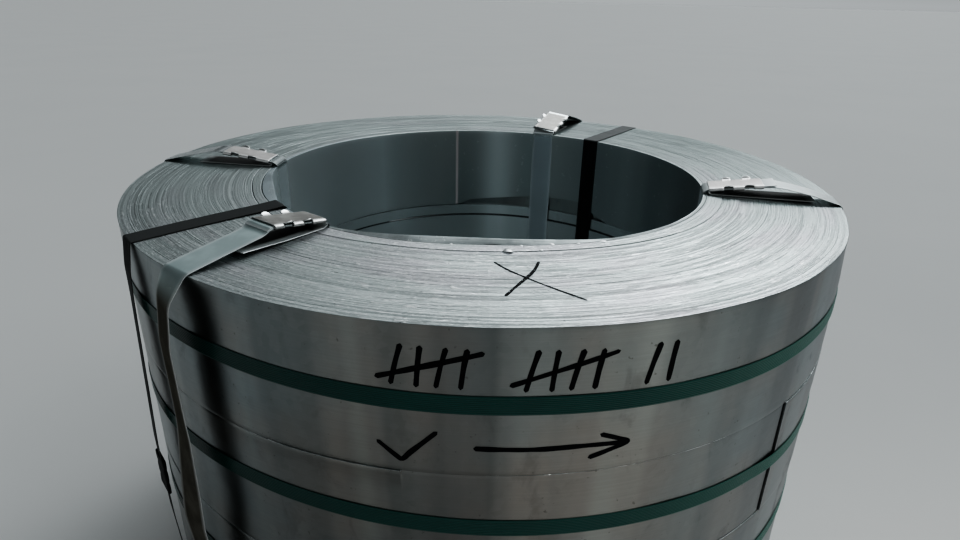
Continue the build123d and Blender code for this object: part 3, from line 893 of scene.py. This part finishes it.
def ribbon(name, L, N, az, width, thick, material, shift=None, closed=False, crown=0.0, curl=None, side=1.0, turn=None, dulling_and_painted_shade=None, roll=None):
    """A flat strap along the line L (u, z) with normals N; az gives the azimuth of its middle at each point.

    turn (degrees) swings the section about the vertical, roll (mm a mm) tips it sideways.
    """
    sec, edge = strap_section(width, thick, crown)
    az = np.broadcast_to(az, (len(L),)).astype(float)
    a = az * RAD
    er = np.stack([np.cos(a), np.sin(a), 0 * a], 1)
    et = np.stack([-np.sin(a), np.cos(a), 0 * a], 1)
    ez = np.array([0, 0, 1.0])
    s, d = sec[:, 0][None, :, None], side * sec[:, 1][None, :, None]
    u, z = L[:, 0][:, None, None], L[:, 1][:, None, None]
    nu, nz = N[:, 0][:, None, None], N[:, 1][:, None, None]
    off = np.zeros(len(L)) if shift is None else shift
    at = er
    if turn is not None:
        b = a + np.asarray(turn) * RAD
        er = np.stack([np.cos(b), np.sin(b), 0 * b], 1)
        et_s = np.stack([-np.sin(b), np.cos(b), 0 * b], 1)
    else:
        et_s = et
    if curl is not None:
        d = d + (curl[:, None] * (sec[:, 0] / (width / 2)) ** 2)[:, :, None]
    tip = 0.0 if roll is None else roll[:, None, None] * s
    verts = u * at[:, None, :] + d * nu * er[:, None, :] + s * et_s[:, None, :] + off[:, None, None] * et[:, None, :] + (z + d * nz + tip) * ez
    n, k = len(L), len(sec)
    faces = grid_faces(n, k, closed, True)
    if not closed:
        cap = np.array([(j, j + 1, k - 2 - j, k - 1 - j) for j in range(k // 2 - 1)])
        faces = np.concatenate([faces, cap[:, ::-1], cap + (n - 1) * k])
    e = np.tile(edge, (n, 1))
    if not closed:
        e[0], e[-1] = 1.0, 1.0
    v = verts.reshape(-1, 3)
    wn = np.zeros(len(L)) if dulling_and_painted_shade is None else np.asarray(dulling_and_painted_shade, float)
    if wn.ndim == 1:
        wn = np.repeat(wn[:, None], k, 1)
    ob = mesh_object(name, v, outward(v, faces), [material], smooth=35.0, attrs={"edge": e, "dulling_and_painted_shade": wn})
    return ob


SLOPE = math.tan(9.13 * RAD)


def climb(name):
    """How steeply a strap climbs away from the eye's edge."""
    return {"back": 0.24}.get(name, SLOPE)


def top_line(u, name):
    """Height of the middle of a strap's two layers as it climbs away from the eye's edge."""
    return TOP + 3.1 + (u - 255.0) * climb(name) + SEAL_AT[name][0]


U_IN = math.sqrt((R_EYE - 0.02) ** 2 - 16 ** 2) - 0.35
SIDE_RUN = {
    "front_left": [(398.4, TOP + 1.0, 9), (411.0, TOP - 18, 28), (415.6, TOP - 55, 60), (414.6, TOP - 140, 120), (420.0, TOP - 232, 90)],
    "right": [(395.0, TOP + 1.0, 7), (398.6, TOP - 24, 25), (400.6, TOP - 120, 120)],
    "back": [(398.6, TOP + 1.0, 8), (404.5, TOP - 24, 25), (403.0, TOP - 150, 120)],
    "back_left": [(398.9, TOP + 1.1, 2.6), (399.1, TOP - 60, 100), (398.8, TOP - 250, 120)],
}
EYE_STRAP_AZ = {  # at the eye and at the rim
    "front_left": (-127.5, -126.0),
    "right": (-13.2, -14.0),
    "back": (69.5, 67.6),
    "back_left": (177.2, 176.0),
}
# each seal: how far it is raised and moved outwards, and how it is turned and tipped
SEAL_AT = {"front_left": (2.9, 0.0, 3.0, 0.0), "right": (1.2, 1.0, -1.5, 0.0), "back": (1.5, 3.0, -5.0, 0.13), "back_left": (1.0, 6.0, -1.0, 0.0)}
TONGUE = {"front_left": 320.5, "right": 327.0, "back": 323.0, "back_left": 325.0}
TAIL = {  # where the folded end of the outer layer stops, its sideways shift at the eye and at its end, its rise and tilt there
    "front_left": (349.0, 2.7, 4.4, 1.9, 0.10),
    "right": (368.0, -2.0, 1.5, 1.5, 0.0),
    "back": (330.0, 1.0, 3.0, 0.5, 0.0),
    "back_left": (352.0, 0.5, -1.0, 0.5, 0.0),
}


def strap_az(name, u):
    a0, a1 = EYE_STRAP_AZ[name]
    return a0 + (a1 - a0) * np.clip((u - R_EYE) / (R_OUT - R_EYE), 0, 1)


def eye_strap(name):
    lay = 0.40
    end = TONGUE[name]
    up, out, skew, tip = SEAL_AT[name]
    fall = {  # past the seal's outer end: the corners of the line down to the rim, from the rim inwards
        "front_left": [(324.0, TOP + 11.0, 20), (315.8, TOP + 15.2, 6)],
        "right": [(364.0, TOP + 9.4, 90), (328.0, top_line(324.0, name), 60)],
    }.get(name, [(326.0 + out, top_line(322.0 + out, name), 22)])
    tip_at = (end, TOP + 12.8, 0) if name == "front_left" else (end, top_line(end, name) + 0.15, 0)
    bend_at = (315.8, TOP + 15.2, 6) if name == "front_left" else (314.0 + out, top_line(314.0 + out, name), 30)
    pts = [(tip_at[0], tip_at[1] + lay, 0), (bend_at[0], bend_at[1] + lay, bend_at[2]), (U_IN + 3.5 + up, top_line(U_IN + 3.5 + up, name) + lay, 9), (U_IN, TOP + 1.6, 3.5), (U_IN, 0.35, 0.8), (398.4, 0.35, 1.3)]
    pts += [p for p in SIDE_RUN[name][::-1]]
    pts += [(q[0], q[1] - lay, q[2]) for q in fall] + [(260.0 + out, top_line(260.0 + out, name) - lay, 0)]
    L, N = route(pts)
    rng = np.random.default_rng(abs(hash_name(name)))
    wob = np.cumsum(rng.normal(size=len(L))) * 0.02
    wob = np.convolve(wob - wob.mean(), np.ones(9) / 9, "same") * (L[:, 0] > 300)
    az = strap_az(name, L[:, 0])
    # how much of the line lies outside the wall, free of the rim
    side_run = (L[:, 0] > 385.0) * smoothstep(TOP - L[:, 1], *{"front_left": (-3.0, 24.0)}.get(name, (-6.0, 34.0)))
    free = side_run * (1 - smoothstep(TOP - L[:, 1], 110.0, 230.0))
    turn = {"front_left": -14.0}.get(name, 0.0) * free
    dulling_and_painted_shade = {"front_left": 1.0, "right": 0.15}.get(name, 0.30) * side_run
    seal_zone = (L[:, 1] > TOP + 2.0) * (1 - smoothstep(L[:, 0], 318.0 + out, 372.0)) * smoothstep(L[:, 0], 254.0, 262.0)
    # the line is the strap's middle; its section is built from one face
    ob = ribbon(f"eye_strap_{name}_steel", L - N * 0.35, N, az, 32.0, 0.7, M_STRAP_AT[name], shift=wob, turn=turn, dulling_and_painted_shade=dulling_and_painted_shade, roll=tip * seal_zone)
    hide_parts(f"eye_strap_{name}")
    # the end of the outer layer, folded back under the seal and lying on the coil
    u_end, s0, s1, rise, tilt = TAIL[name]
    tail = [(259.8 + out, top_line(259.8 + out, name) - lay - 0.75, 0), (256.6 + 0.5 * out, TOP + 2.8, 1.2), (262.0, TOP + 0.62, 4), (300.0, TOP + 0.45 + 0.3 * rise, 40), (u_end, TOP + 0.75 + rise, 0)]
    Lt, Nt = route(tail)
    t = np.clip((Lt[:, 0] - 258) / (u_end - 258), 0, 1)
    # painted shade: it is painted dull and dark where the strap and seal above shade it, but for the fold and, at the
    # front left, its near edge, which carries a painted highlight
    side = strap_section(31.6, 0.7)[0][:, 0]
    # painted highlight: the near edge of the front left folded end is left bright
    near = smoothstep(side[None, :], 12.5 - 9.5 * t[:, None], 15.4 - 9.0 * t[:, None]) * {"front_left": 1.0}.get(name, 0.0)
    dull = smoothstep(Lt[:, 0], 259.5, 266.0)[:, None] * (1 - near)
    tail_ob = ribbon(f"eye_strap_{name}_folded_end", Lt - Nt * 0.35, Nt, strap_az(name, Lt[:, 0]), 31.6, 0.7, M_TAIL_AT[name], dulling_and_painted_shade=dull, shift=s0 + (s1 - s0) * t, roll=tilt * t ** 2)
    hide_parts(f"eye_strap_{name}")
    return [ob, tail_ob]


def hash_name(s):
    return sum((i + 1) * ord(ch) for i, ch in enumerate(s))


def seal(name):
    """A notched steel seal: a folded sleeve whose edges are cut and bent up at two places a side."""
    up, out, skew, tip = SEAL_AT[name]
    u0, u1 = 257.6 + out, 313.4 + out
    slope = math.atan(climb(name))
    L = (u1 - u0) / math.cos(slope)
    tabs = ((0.28, 0.45), (0.655, 0.825))
    cuts = sorted({0.0, 1.0, *[x for t in tabs for x in t]})
    st = []
    for a, b in zip(cuts[:-1], cuts[1:]):
        st += list(np.linspace(a, b, 10, endpoint=False))
    st.append(1.0)
    st = np.array(st)
    plate = [(-13.0, 1.62), (-9.0, 1.66), (-4.5, 1.70), (0.0, 1.70), (4.5, 1.70), (9.0, 1.66), (13.0, 1.62)]
    wrap = [(15.2, 1.5), (16.9, 1.05), (17.9, 0.25), (18.1, -0.6), (17.4, -1.35), (15.6, -1.75), (11.5, -1.8), (7.0, -1.72)]
    flare = [(14.6, 1.78), (16.1, 2.25), (17.5, 2.95), (18.6, 3.75), (19.2, 4.15)]

    def place(v, s, d):
        """v along the seal from the eye, s sideways, d off the straps."""
        u = u0 + v * L * math.cos(slope)
        z = top_line(u0, name) + v * L * math.sin(slope)
        u, z = u - d * math.sin(slope), z + d * math.cos(slope) + tip * s
        a = strap_az(name, 285.0) * RAD
        s = s + skew * (v - 0.5)
        return [u * math.cos(a) - s * math.sin(a), u * math.sin(a) + s * math.cos(a), z]

    verts, edge, index = [], [], {}

    def vert(key, v, s, d, e):
        if key not in index:
            index[key] = len(verts)
            verts.append(place(v, s, d))
            edge.append(e)
        return index[key]

    faces = []
    in_tab = [any(a - 1e-6 <= 0.5 * (p + q) <= b + 1e-6 for a, b in tabs) for p, q in zip(st[:-1], st[1:])]
    for i in range(len(st) - 1):
        for j in range(len(plate) - 1):
            q = []
            for ii, jj in ((i, j), (i + 1, j), (i + 1, j + 1), (i, j + 1)):
                v = st[ii]
                sag = 0.25 * math.cos(v * 6 * math.pi) * (abs(plate[jj][0]) / 13) ** 2
                q.append(vert(("p", ii, jj), v, plate[jj][0], plate[jj][1] - 0.15 * sag, 0.9 if ii in (0, len(st) - 1) else 0.06))
            faces.append(q)
        for sgn, j0 in ((1, len(plate) - 1), (-1, 0)):
            prof = flare if in_tab[i] else wrap
            kind = "f" if in_tab[i] else "w"
            prev = [index[("p", i, j0)], index[("p", i + 1, j0)]]
            for k, (s, d) in enumerate(prof):
                cur = []
                for ii in (i, i + 1):
                    e = min(1.0, 0.35 + 0.3 * k) if kind == "f" else (0.6 if k < 4 else 0.25)
                    ss, dd = s, d
                    if kind == "f":  # a lens: the lip sticks out most in its middle
                        t0, t1 = next(t for t in tabs if t[0] - 1e-6 <= 0.5 * (st[i] + st[i + 1]) <= t[1] + 1e-6)
                        q = 0.35 + 0.65 * math.sin(math.pi * min(max((st[ii] - t0) / (t1 - t0), 0.0), 1.0)) ** 0.7
                        ss, dd = 13.0 + (s - 13.0) * (0.55 + 0.45 * q), 1.62 + (d - 1.62) * q
                    else:  # the sleeve is pinched a little between the notches
                        ss = s - 0.35 * (abs(s) / 18) * math.cos(st[ii] * 6 * math.pi) ** 2
                    cur.append(vert((kind, sgn, ii, k), st[ii], sgn * ss, dd, e))
                faces.append([prev[0], prev[1], cur[1], cur[0]] if sgn > 0 else [prev[1], prev[0], cur[0], cur[1]])
                prev = cur
    ob = mesh_object(f"strap_seal_{name}_crimped", np.array(verts), np.array(faces), [M_SEAL_AT[name]], smooth=40.0, attrs={"edge": edge})
    sol = ob.modifiers.new("sheet", "SOLIDIFY")
    sol.thickness = 0.9 * MM
    sol.offset = 0.0
    bev = ob.modifiers.new("edge", "BEVEL")
    bev.width = 0.16 * MM
    bev.segments = 1
    bev.limit_method = "ANGLE"
    bev.angle_limit = math.radians(50)
    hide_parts(f"strap_seal_{name}")
    return ob


strap_parts = []
for n in ("front_left", "right", "back", "back_left"):
    strap_parts += eye_strap(n)
    strap_parts.append(seal(n))

BLACK_SIDE = {
    "front_left": [(398.8, TOP + 0.35, 2.0), (402.6, TOP - 26, 60), (409.6, TOP - 205, 300), (408.6, TOP - 290, 300)],
    "back": [(398.8, TOP + 0.35, 2.0), (400.6, TOP - 120, 400), (400.6, TOP - 365, 400)],
}
BLACK_AZ = {"front_left": (-143.3, -139.6), "back": (51.6, 53.0)}
BLACK_SEAL_AT = {"front_left": (409.16, TOP - 243.0, -0.674), "back": (400.6, TOP - 242.5, 0.0)}
UB_IN = math.sqrt((R_EYE - 0.02) ** 2 - 12.0 ** 2) - 0.30


def black_strap(name):
    over = {  # the way over the eye's edge: the front left one stands up and in a little
        "front_left": [(278.0, TOP + 1.1, 40), (UB_IN - 1.3, TOP + 2.2, 4.6), (UB_IN - 0.2, TOP - 18.0, 40)],
        "back": [(UB_IN - 0.25, TOP + 0.75, 1.3)],
    }[name]
    pts = [(326.0, TOP + 0.6)] + over + [(UB_IN, 0.32, 0.8), (398.4, 0.32, 1.3)] + BLACK_SIDE[name][::-1] + [(326.0, TOP + 0.6)]
    L, N = route(pts)
    a0, a1 = BLACK_AZ[name]
    az = a0 + (a1 - a0) * np.clip((L[:, 0] - R_EYE) / (R_OUT - R_EYE), 0, 1)
    L, N, az = L[:-1], N[:-1], az[:-1]
    free = (L[:, 0] > 385.0) * smoothstep(TOP - L[:, 1], 4.0, 60.0) * (1 - smoothstep(TOP - L[:, 1], 400.0, 470.0))
    ob = ribbon(f"black_strap_{name}_strapping", L - N * 0.3, N, az, 24.0, 0.6, {"front_left": M_BLACK, "back": M_BLACK_BACK}[name], turn={"front_left": -5.0, "back": 0.0}[name] * free, closed=True)
    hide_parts(f"black_strap_{name}")
    return ob


def black_seal(name):
    """The black strap's sleeve, pinched in twice on each side."""
    u, z, lean = BLACK_SEAL_AT[name]
    a = BLACK_AZ[name][1] * RAD
    lean = lean * RAD
    n_len, ring = 41, []
    t = np.linspace(-1, 1, n_len)
    k = 28
    ang = np.linspace(0, 2 * math.pi, k, endpoint=False)
    verts, edge = [], []
    for tt in t:
        pinch = sum(math.exp(-(((tt * 19 - c) / 2.6) ** 2)) for c in (-8.0, 8.0))
        w = 13.9 - 1.5 * pinch
        d = 1.75 - 0.25 * pinch
        if abs(tt) > 0.97:
            w, d = w - 0.25, d - 0.2
        for q in ang:
            cx, sx = math.cos(q), math.sin(q)
            s = w * np.sign(cx) * abs(cx) ** 0.28
            o = d * np.sign(sx) * abs(sx) ** 0.55
            uu = u + o * math.cos(lean) + tt * 19 * math.sin(lean)
            zz = z + tt * 19 * math.cos(lean) - o * math.sin(lean)
            verts.append([uu * math.cos(a) - s * math.sin(a), uu * math.sin(a) + s * math.cos(a), zz])
            edge.append(0.6 if abs(tt) > 0.97 or abs(cx) > 0.93 else 0.12)
    verts = np.array(verts)
    faces = grid_faces(n_len, k, False, True)
    h = k // 2
    cap = np.array([(j % k, (j + 1) % k, (k - j - 1) % k, (k - j) % k) for j in range(1, h - 1)])
    first = np.array([(0, 1, k - 1, 0)])
    faces = np.concatenate([faces, cap[:, ::-1], cap + (n_len - 1) * k])
    ob = mesh_object(f"black_seal_{name}_sleeve", verts, outward(verts, faces), [M_BLACK], smooth=40.0, attrs={"edge": edge})
    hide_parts(f"black_seal_{name}")
    return ob


black_parts = []
for n in ("front_left", "back"):
    black_parts += [black_strap(n), black_seal(n)]


# ---------------------------------------------------------------- hand-drawn marks
def smooth_line(pts, step):
    """A rounded line through the points, with a point about every step."""
    P = np.array(pts, float)
    if len(P) == 2:
        n = max(2, int(np.linalg.norm(P[1] - P[0]) / step))
        return P[0] + (P[1] - P[0]) * np.linspace(0, 1, n + 1)[:, None]
    out = []
    Q = np.vstack([2 * P[0] - P[1], P, 2 * P[-1] - P[-2]])
    for i in range(1, len(Q) - 2):
        p0, p1, p2, p3 = Q[i - 1:i + 3]
        n = max(2, int(np.linalg.norm(p2 - p1) / step))
        for t in np.linspace(0, 1, n, endpoint=False):
            out.append(0.5 * ((2 * p1) + (-p0 + p2) * t + (2 * p0 - 5 * p1 + 4 * p2 - p3) * t ** 2 + (-p0 + 3 * p1 - 3 * p2 + p3) * t ** 3))
    out.append(P[-1])
    return np.array(out)


def stroke_grid(pts, width, step, rng, across=5):
    """A stroke of marker in the plane: rows of points across it, with round ends and a slightly uneven width."""
    L = smooth_line(pts, step)
    T = np.gradient(L, axis=0)
    T /= np.linalg.norm(T, axis=1)[:, None] + 1e-9
    N = np.stack([-T[:, 1], T[:, 0]], 1)
    s = np.concatenate([[0], np.cumsum(np.linalg.norm(np.diff(L, axis=0), axis=1))])
    total = s[-1]
    d = np.minimum(s, total - s)
    half = width / 2
    w = half * np.sqrt(np.clip(1 - (1 - np.clip(d / half, 0, 1)) ** 2, 0.02, 1))
    press = 1 + 0.10 * np.sin(s / 9.0 + rng.uniform(0, 6)) + 0.05 * np.sin(s / 3.1 + rng.uniform(0, 6))
    q = np.linspace(-1, 1, across)
    return L[:, None, :] + N[:, None, :] * (w * press)[:, None, None] * q[None, :, None]


def marks_on_wall(name, strokes, width):
    rng = np.random.default_rng(404)
    V, F, n0 = [], [], 0
    for pts in strokes:
        G = stroke_grid(pts, width * rng.uniform(0.9, 1.08), 1.6, rng)
        az = G[..., 0] / R_OUT / RAD  # arc length to azimuth
        zz = G[..., 1]
        coil = c0
        r = coil.outer(az, -zz) + 0.10
        V.append(cyl(r, az, TOP + zz).reshape(-1, 3))
        F.append(grid_faces(G.shape[0], G.shape[1], start=n0))
        n0 += G.shape[0] * G.shape[1]
    V, F = np.concatenate(V), np.concatenate(F)
    # faces look outwards
    f0 = V[F[0]]
    nrm = np.cross(f0[1] - f0[0], f0[3] - f0[0])
    if nrm @ f0.mean(0) < 0:
        F = F[:, ::-1]
    ob = mesh_object(name, V, F, [M_INK], smooth=60.0)
    return ob


def arc(az):
    return az * RAD * R_OUT


def stroke(*pts):
    """Points given as azimuth and depth below the rim."""
    return [(arc(a), z) for a, z in pts]


tally = []
for a0, n in ((-98.6, 4), (-85.2, 4), (-72.6, 2)):
    for k in range(n):
        a = a0 + 2.25 * k
        j = [0.15, -0.2, 0.1, -0.1][k]
        tally.append(stroke((a + 0.7 + j, -15.5 - 0.35 * k - 0.1 * (a0 + 98)), (a + 0.25, -31.0 - 0.12 * (a0 + 98)), (a - 0.15 - j, -48.5 + 1.2 * j - 0.12 * (a0 + 98))))
    if n == 4:
        tally.append(stroke((a0 - 1.9, -43.5 - 0.1 * (a0 + 98)), (a0 + 3.0, -32.0 - 0.1 * (a0 + 98)), (a0 + 9.0, -19.5 - 0.1 * (a0 + 98))))
# below them: a tick and a long arrow
tally.append(stroke((-100.6, -97.0), (-98.6, -108.5), (-97.9, -111.0), (-96.9, -103.5), (-94.2, -84.5)))
tally.append(stroke((-90.5, -97.5), (-84.5, -98.6), (-79.0, -98.2), (-74.2, -99.4)))
tally.append(stroke((-77.3, -89.3), (-75.4, -94.5), (-74.0, -99.2), (-76.0, -104.2), (-78.4, -109.4)))
marks = marks_on_wall("marker_strokes_on_wall", tally, 4.1)


# the cross on the top face follows the turns' relief
def relief_sampler():
    me = coil_1.data
    n = len(me.vertices)
    co = np.zeros(n * 3, np.float32)
    me.vertices.foreach_get("co", co)
    co = co.reshape(len(AZ0), -1, 3) / MM
    return co


TOPGRID = relief_sampler()


def top_height(x, y):
    """Height of the top face at x, y from the body's own profile there."""
    az = math.degrees(math.atan2(y, x))
    i = int(round((az + 180) / 360 * len(AZ0))) % len(AZ0)
    prof = TOPGRID[i]
    r = np.hypot(prof[:, 0], prof[:, 1])
    up = prof[:, 2] > c0.top - 6.0
    rr, zz = r[up], prof[up, 2]
    o = np.argsort(rr)
    return float(np.interp(math.hypot(x, y), rr[o], zz[o]))


def marks_on_top(name, strokes, width):
    rng = np.random.default_rng(405)
    V, F, n0 = [], [], 0
    for pts, w in strokes:
        G = stroke_grid(pts, w, 0.9, rng, across=7)
        flat = G.reshape(-1, 2)
        z = np.array([max(top_height(x, y), c0.top - 0.9) for x, y in flat]) + 0.10
        V.append(np.column_stack([flat, z]))
        F.append(grid_faces(G.shape[0], G.shape[1], start=n0))
        n0 += G.shape[0] * G.shape[1]
    V, F = np.concatenate(V), np.concatenate(F)
    f0 = V[F[0]]
    if np.cross(f0[1] - f0[0], f0[3] - f0[0])[2] < 0:
        F = F[:, ::-1]
    return mesh_object(name, V, F, [M_INK], smooth=60.0)


def pol(r, az):
    return (r * math.cos(az * RAD), r * math.sin(az * RAD))


cross = marks_on_top("marker_cross_on_top", [
    ([pol(286.5, -88.2), pol(300.0, -86.6), pol(312.0, -84.8), pol(334.0, -81.6), pol(360.5, -78.0)], 2.3),
    ([pol(286.6, -80.9), pol(306.0, -82.6), pol(326.0, -84.9), pol(349.5, -87.3)], 2.9),
], 2.6)

# ---------------------------------------------------------------- burrs along the thin gaps of the loose turns
def burrs(name, spots):
    """Small bent-up flakes of strip, each a domed lens: azimuth, radius, length and depth, how high its middle is, its tip towards the outside."""
    V, F, n0 = [], [], 0
    nu, nv = 15, 7
    for az, r, length, depth, high, tip in spots:
        a0 = az * RAD
        er, et = np.array([math.cos(a0), math.sin(a0), 0.0]), np.array([-math.sin(a0), math.cos(a0), 0.0])
        top, low = [], []
        for i in range(nu):
            t = -1 + 2 * i / (nu - 1)
            w = 0.5 * depth * (1 - 0.97 * abs(t) ** 2.2)
            for j in range(nv):
                q = -1 + 2 * j / (nv - 1)
                z = high * (1 - 0.75 * t * t) * (1 - 0.25 * q * q) - tip * q * w + 0.10
                pt = er * (r + q * w) + et * (t * 0.5 * length + 0.15 * math.sin(7 * t + 3 * q))
                top.append([pt[0], pt[1], TOP + z])
                low.append([pt[0], pt[1], TOP + z - 0.30])
        V += top + low
        f1 = grid_faces(nu, nv, start=n0)
        f2 = grid_faces(nu, nv, start=n0 + nu * nv)[:, ::-1]
        rim = [i * nv for i in range(nu)] + [(nu - 1) * nv + j for j in range(1, nv)] + [i * nv + nv - 1 for i in range(nu - 2, -1, -1)] + [j for j in range(nv - 2, 0, -1)]
        side = [(rim[k], rim[(k + 1) % len(rim)], rim[(k + 1) % len(rim)] + nu * nv, rim[k] + nu * nv) for k in range(len(rim))]
        F += [f1, f2, np.array(side) + n0]
        n0 += 2 * nu * nv
    V, F = np.array(V), np.concatenate(F)
    ob = mesh_object(name, V, F, [M_FLAKE], smooth=50.0)
    ob.data.materials[0] = M_FLAKE
    if ob.data.polygons[0].normal.z < 0:
        ob.data.flip_normals()
    return ob


flakes = burrs("burrs_at_the_loose_turns", [
    (-85.5, 264.4, 9.5, 8.0, 2.4, 0.03),
    (-76.4, 251.2, 5.5, 3.2, 0.9, 0.15),
    (-71.0, 254.6, 4.2, 2.4, 0.7, 0.05),
    (-65.6, 256.0, 7.0, 3.0, 0.8, 0.12),
    (-82.6, 251.6, 3.6, 2.2, 0.6, 0.10),
    (-96.4, 251.0, 3.0, 1.8, 0.5, 0.10),
    (-79.2, 262.5, 3.2, 1.8, 0.5, 0.10),
])

# ---------------------------------------------------------------- everything rides on the one body
pieces = [coil_1, mid_turns, inner_turns, flakes] + lower + bands + strap_parts + black_parts + [marks, cross]
for p in pieces:
    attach(p, "root")

# ---------------------------------------------------------------- floor
def floor():
    n = 40
    edge = np.concatenate([-np.geomspace(150, 1.0, n // 2), np.geomspace(1.0, 150, n // 2)])
    V = np.array([[x * 1000, y * 1000, -0.05] for x in edge for y in edge])
    ob = mesh_object("pale_floor", V, grid_faces(n, n), [M_FLOOR], smooth=60.0)
    if ob.data.polygons[0].normal.z < 0:
        ob.data.flip_normals()


floor()


# ---------------------------------------------------------------- light
def area(name, loc, target, size, power, color=(1, 1, 1), size_y=None):
    light = bpy.data.lights.new(name, "AREA")
    light.energy = power
    light.color = color
    light.shape = "RECTANGLE"
    light.size = size
    light.size_y = size_y or size
    ob = bpy.data.objects.new(name, light)
    ob.location = loc
    d = Vector(target) - Vector(loc)
    ob.rotation_euler = d.to_track_quat("-Z", "Y").to_euler()
    bpy.context.scene.collection.objects.link(ob)
    return ob


def soft_room():
    """A soft room: one wide glow high behind on the right, two weaker ones beside it, and a faint even light."""
    world = bpy.data.worlds.new("soft_room")
    bpy.context.scene.world = world
    world.use_nodes = True
    t = world.node_tree
    back = t.nodes["Background"]
    co = t.nodes.new("ShaderNodeTexCoord").outputs["Generated"]

    def m(op, *v):
        n = t.nodes.new("ShaderNodeMath")
        n.operation = op
        for s_, x in zip(n.inputs, v):
            if isinstance(x, bpy.types.NodeSocket):
                t.links.new(x, s_)
            else:
                s_.default_value = x
        return n.outputs[0]

    def glow(az, el, power, strength):
        n = t.nodes.new("ShaderNodeVectorMath")
        n.operation = "DOT_PRODUCT"
        t.links.new(co, n.inputs[0])
        n.inputs[1].default_value = (math.cos(az * RAD) * math.cos(el * RAD), math.sin(az * RAD) * math.cos(el * RAD), math.sin(el * RAD))
        return m("MULTIPLY", m("POWER", m("MAXIMUM", n.outputs["Value"], 0.0), power), strength)

    total = 0.02
    for az, el, power, strength in ((56.0, 40.0, 55.0, 9.0), (86.0, 43.0, 60.0, 3.2), (-10.0, 45.0, 16.0, 1.2), (100.0, 35.0, 16.0, 0.4), (122.0, 30.0, 110.0, 0.4), (-85.0, 42.0, 7.0, 0.36), (-150.0, 42.0, 9.0, 0.30), (76.0, 0.0, 10.0, 0.055)):
        total = m("ADD", total, glow(az, el, power, strength))
    sep = t.nodes.new("ShaderNodeSeparateXYZ")
    t.links.new(co, sep.inputs[0])
    haze = m("POWER", m("MAXIMUM", m("SUBTRACT", 1.0, m("MULTIPLY", m("ABSOLUTE", sep.outputs[2]), 5.0)), 0.0), 1.3)
    total = m("ADD", total, m("MULTIPLY", haze, 0.34))  # far away, the room is as pale as its floor
    t.links.new(total, back.inputs[1])
    back.inputs[0].default_value = (0.92, 0.975, 1.0, 1)


area("front_right_pool", (1.39, -1.24, 2.08), (0.8, -0.9, 0.0), 0.6, 1.6, (1.0, 0.95, 0.88)).data.spread = 60.0 * RAD
soft_room()

# ---------------------------------------------------------------- camera, at the photograph's angle
F_PX = 633.5546
cam_data = bpy.data.cameras.new("camera")
cam_data.sensor_fit = "HORIZONTAL"
cam_data.sensor_width = 36.0
cam_data.lens = F_PX / 960.0 * 36.0
cam_data.clip_start = 0.02
cam_data.clip_end = 100.0
cam = bpy.data.objects.new("camera", cam_data)
bpy.context.scene.collection.objects.link(cam)
pan, pitch, roll = -0.00497886, 0.408769, 0.0245314
fwd = Vector((math.sin(pan) * math.cos(pitch), math.cos(pan) * math.cos(pitch), -math.sin(pitch)))
right = fwd.cross(Vector((0, 0, 1))).normalized()
up = right.cross(fwd)
r2 = math.cos(roll) * right + math.sin(roll) * up
u2 = -math.sin(roll) * right + math.cos(roll) * up
m = Matrix((r2, u2, -fwd)).transposed().to_4x4()
m.translation = Vector((0.0, -0.758443, (TOP + 197.136) * MM))
cam.matrix_world = m
bpy.context.scene.camera = cam
bpy.context.scene.view_settings.view_transform = "AgX"
bpy.context.scene.view_settings.look = "AgX - High Contrast"
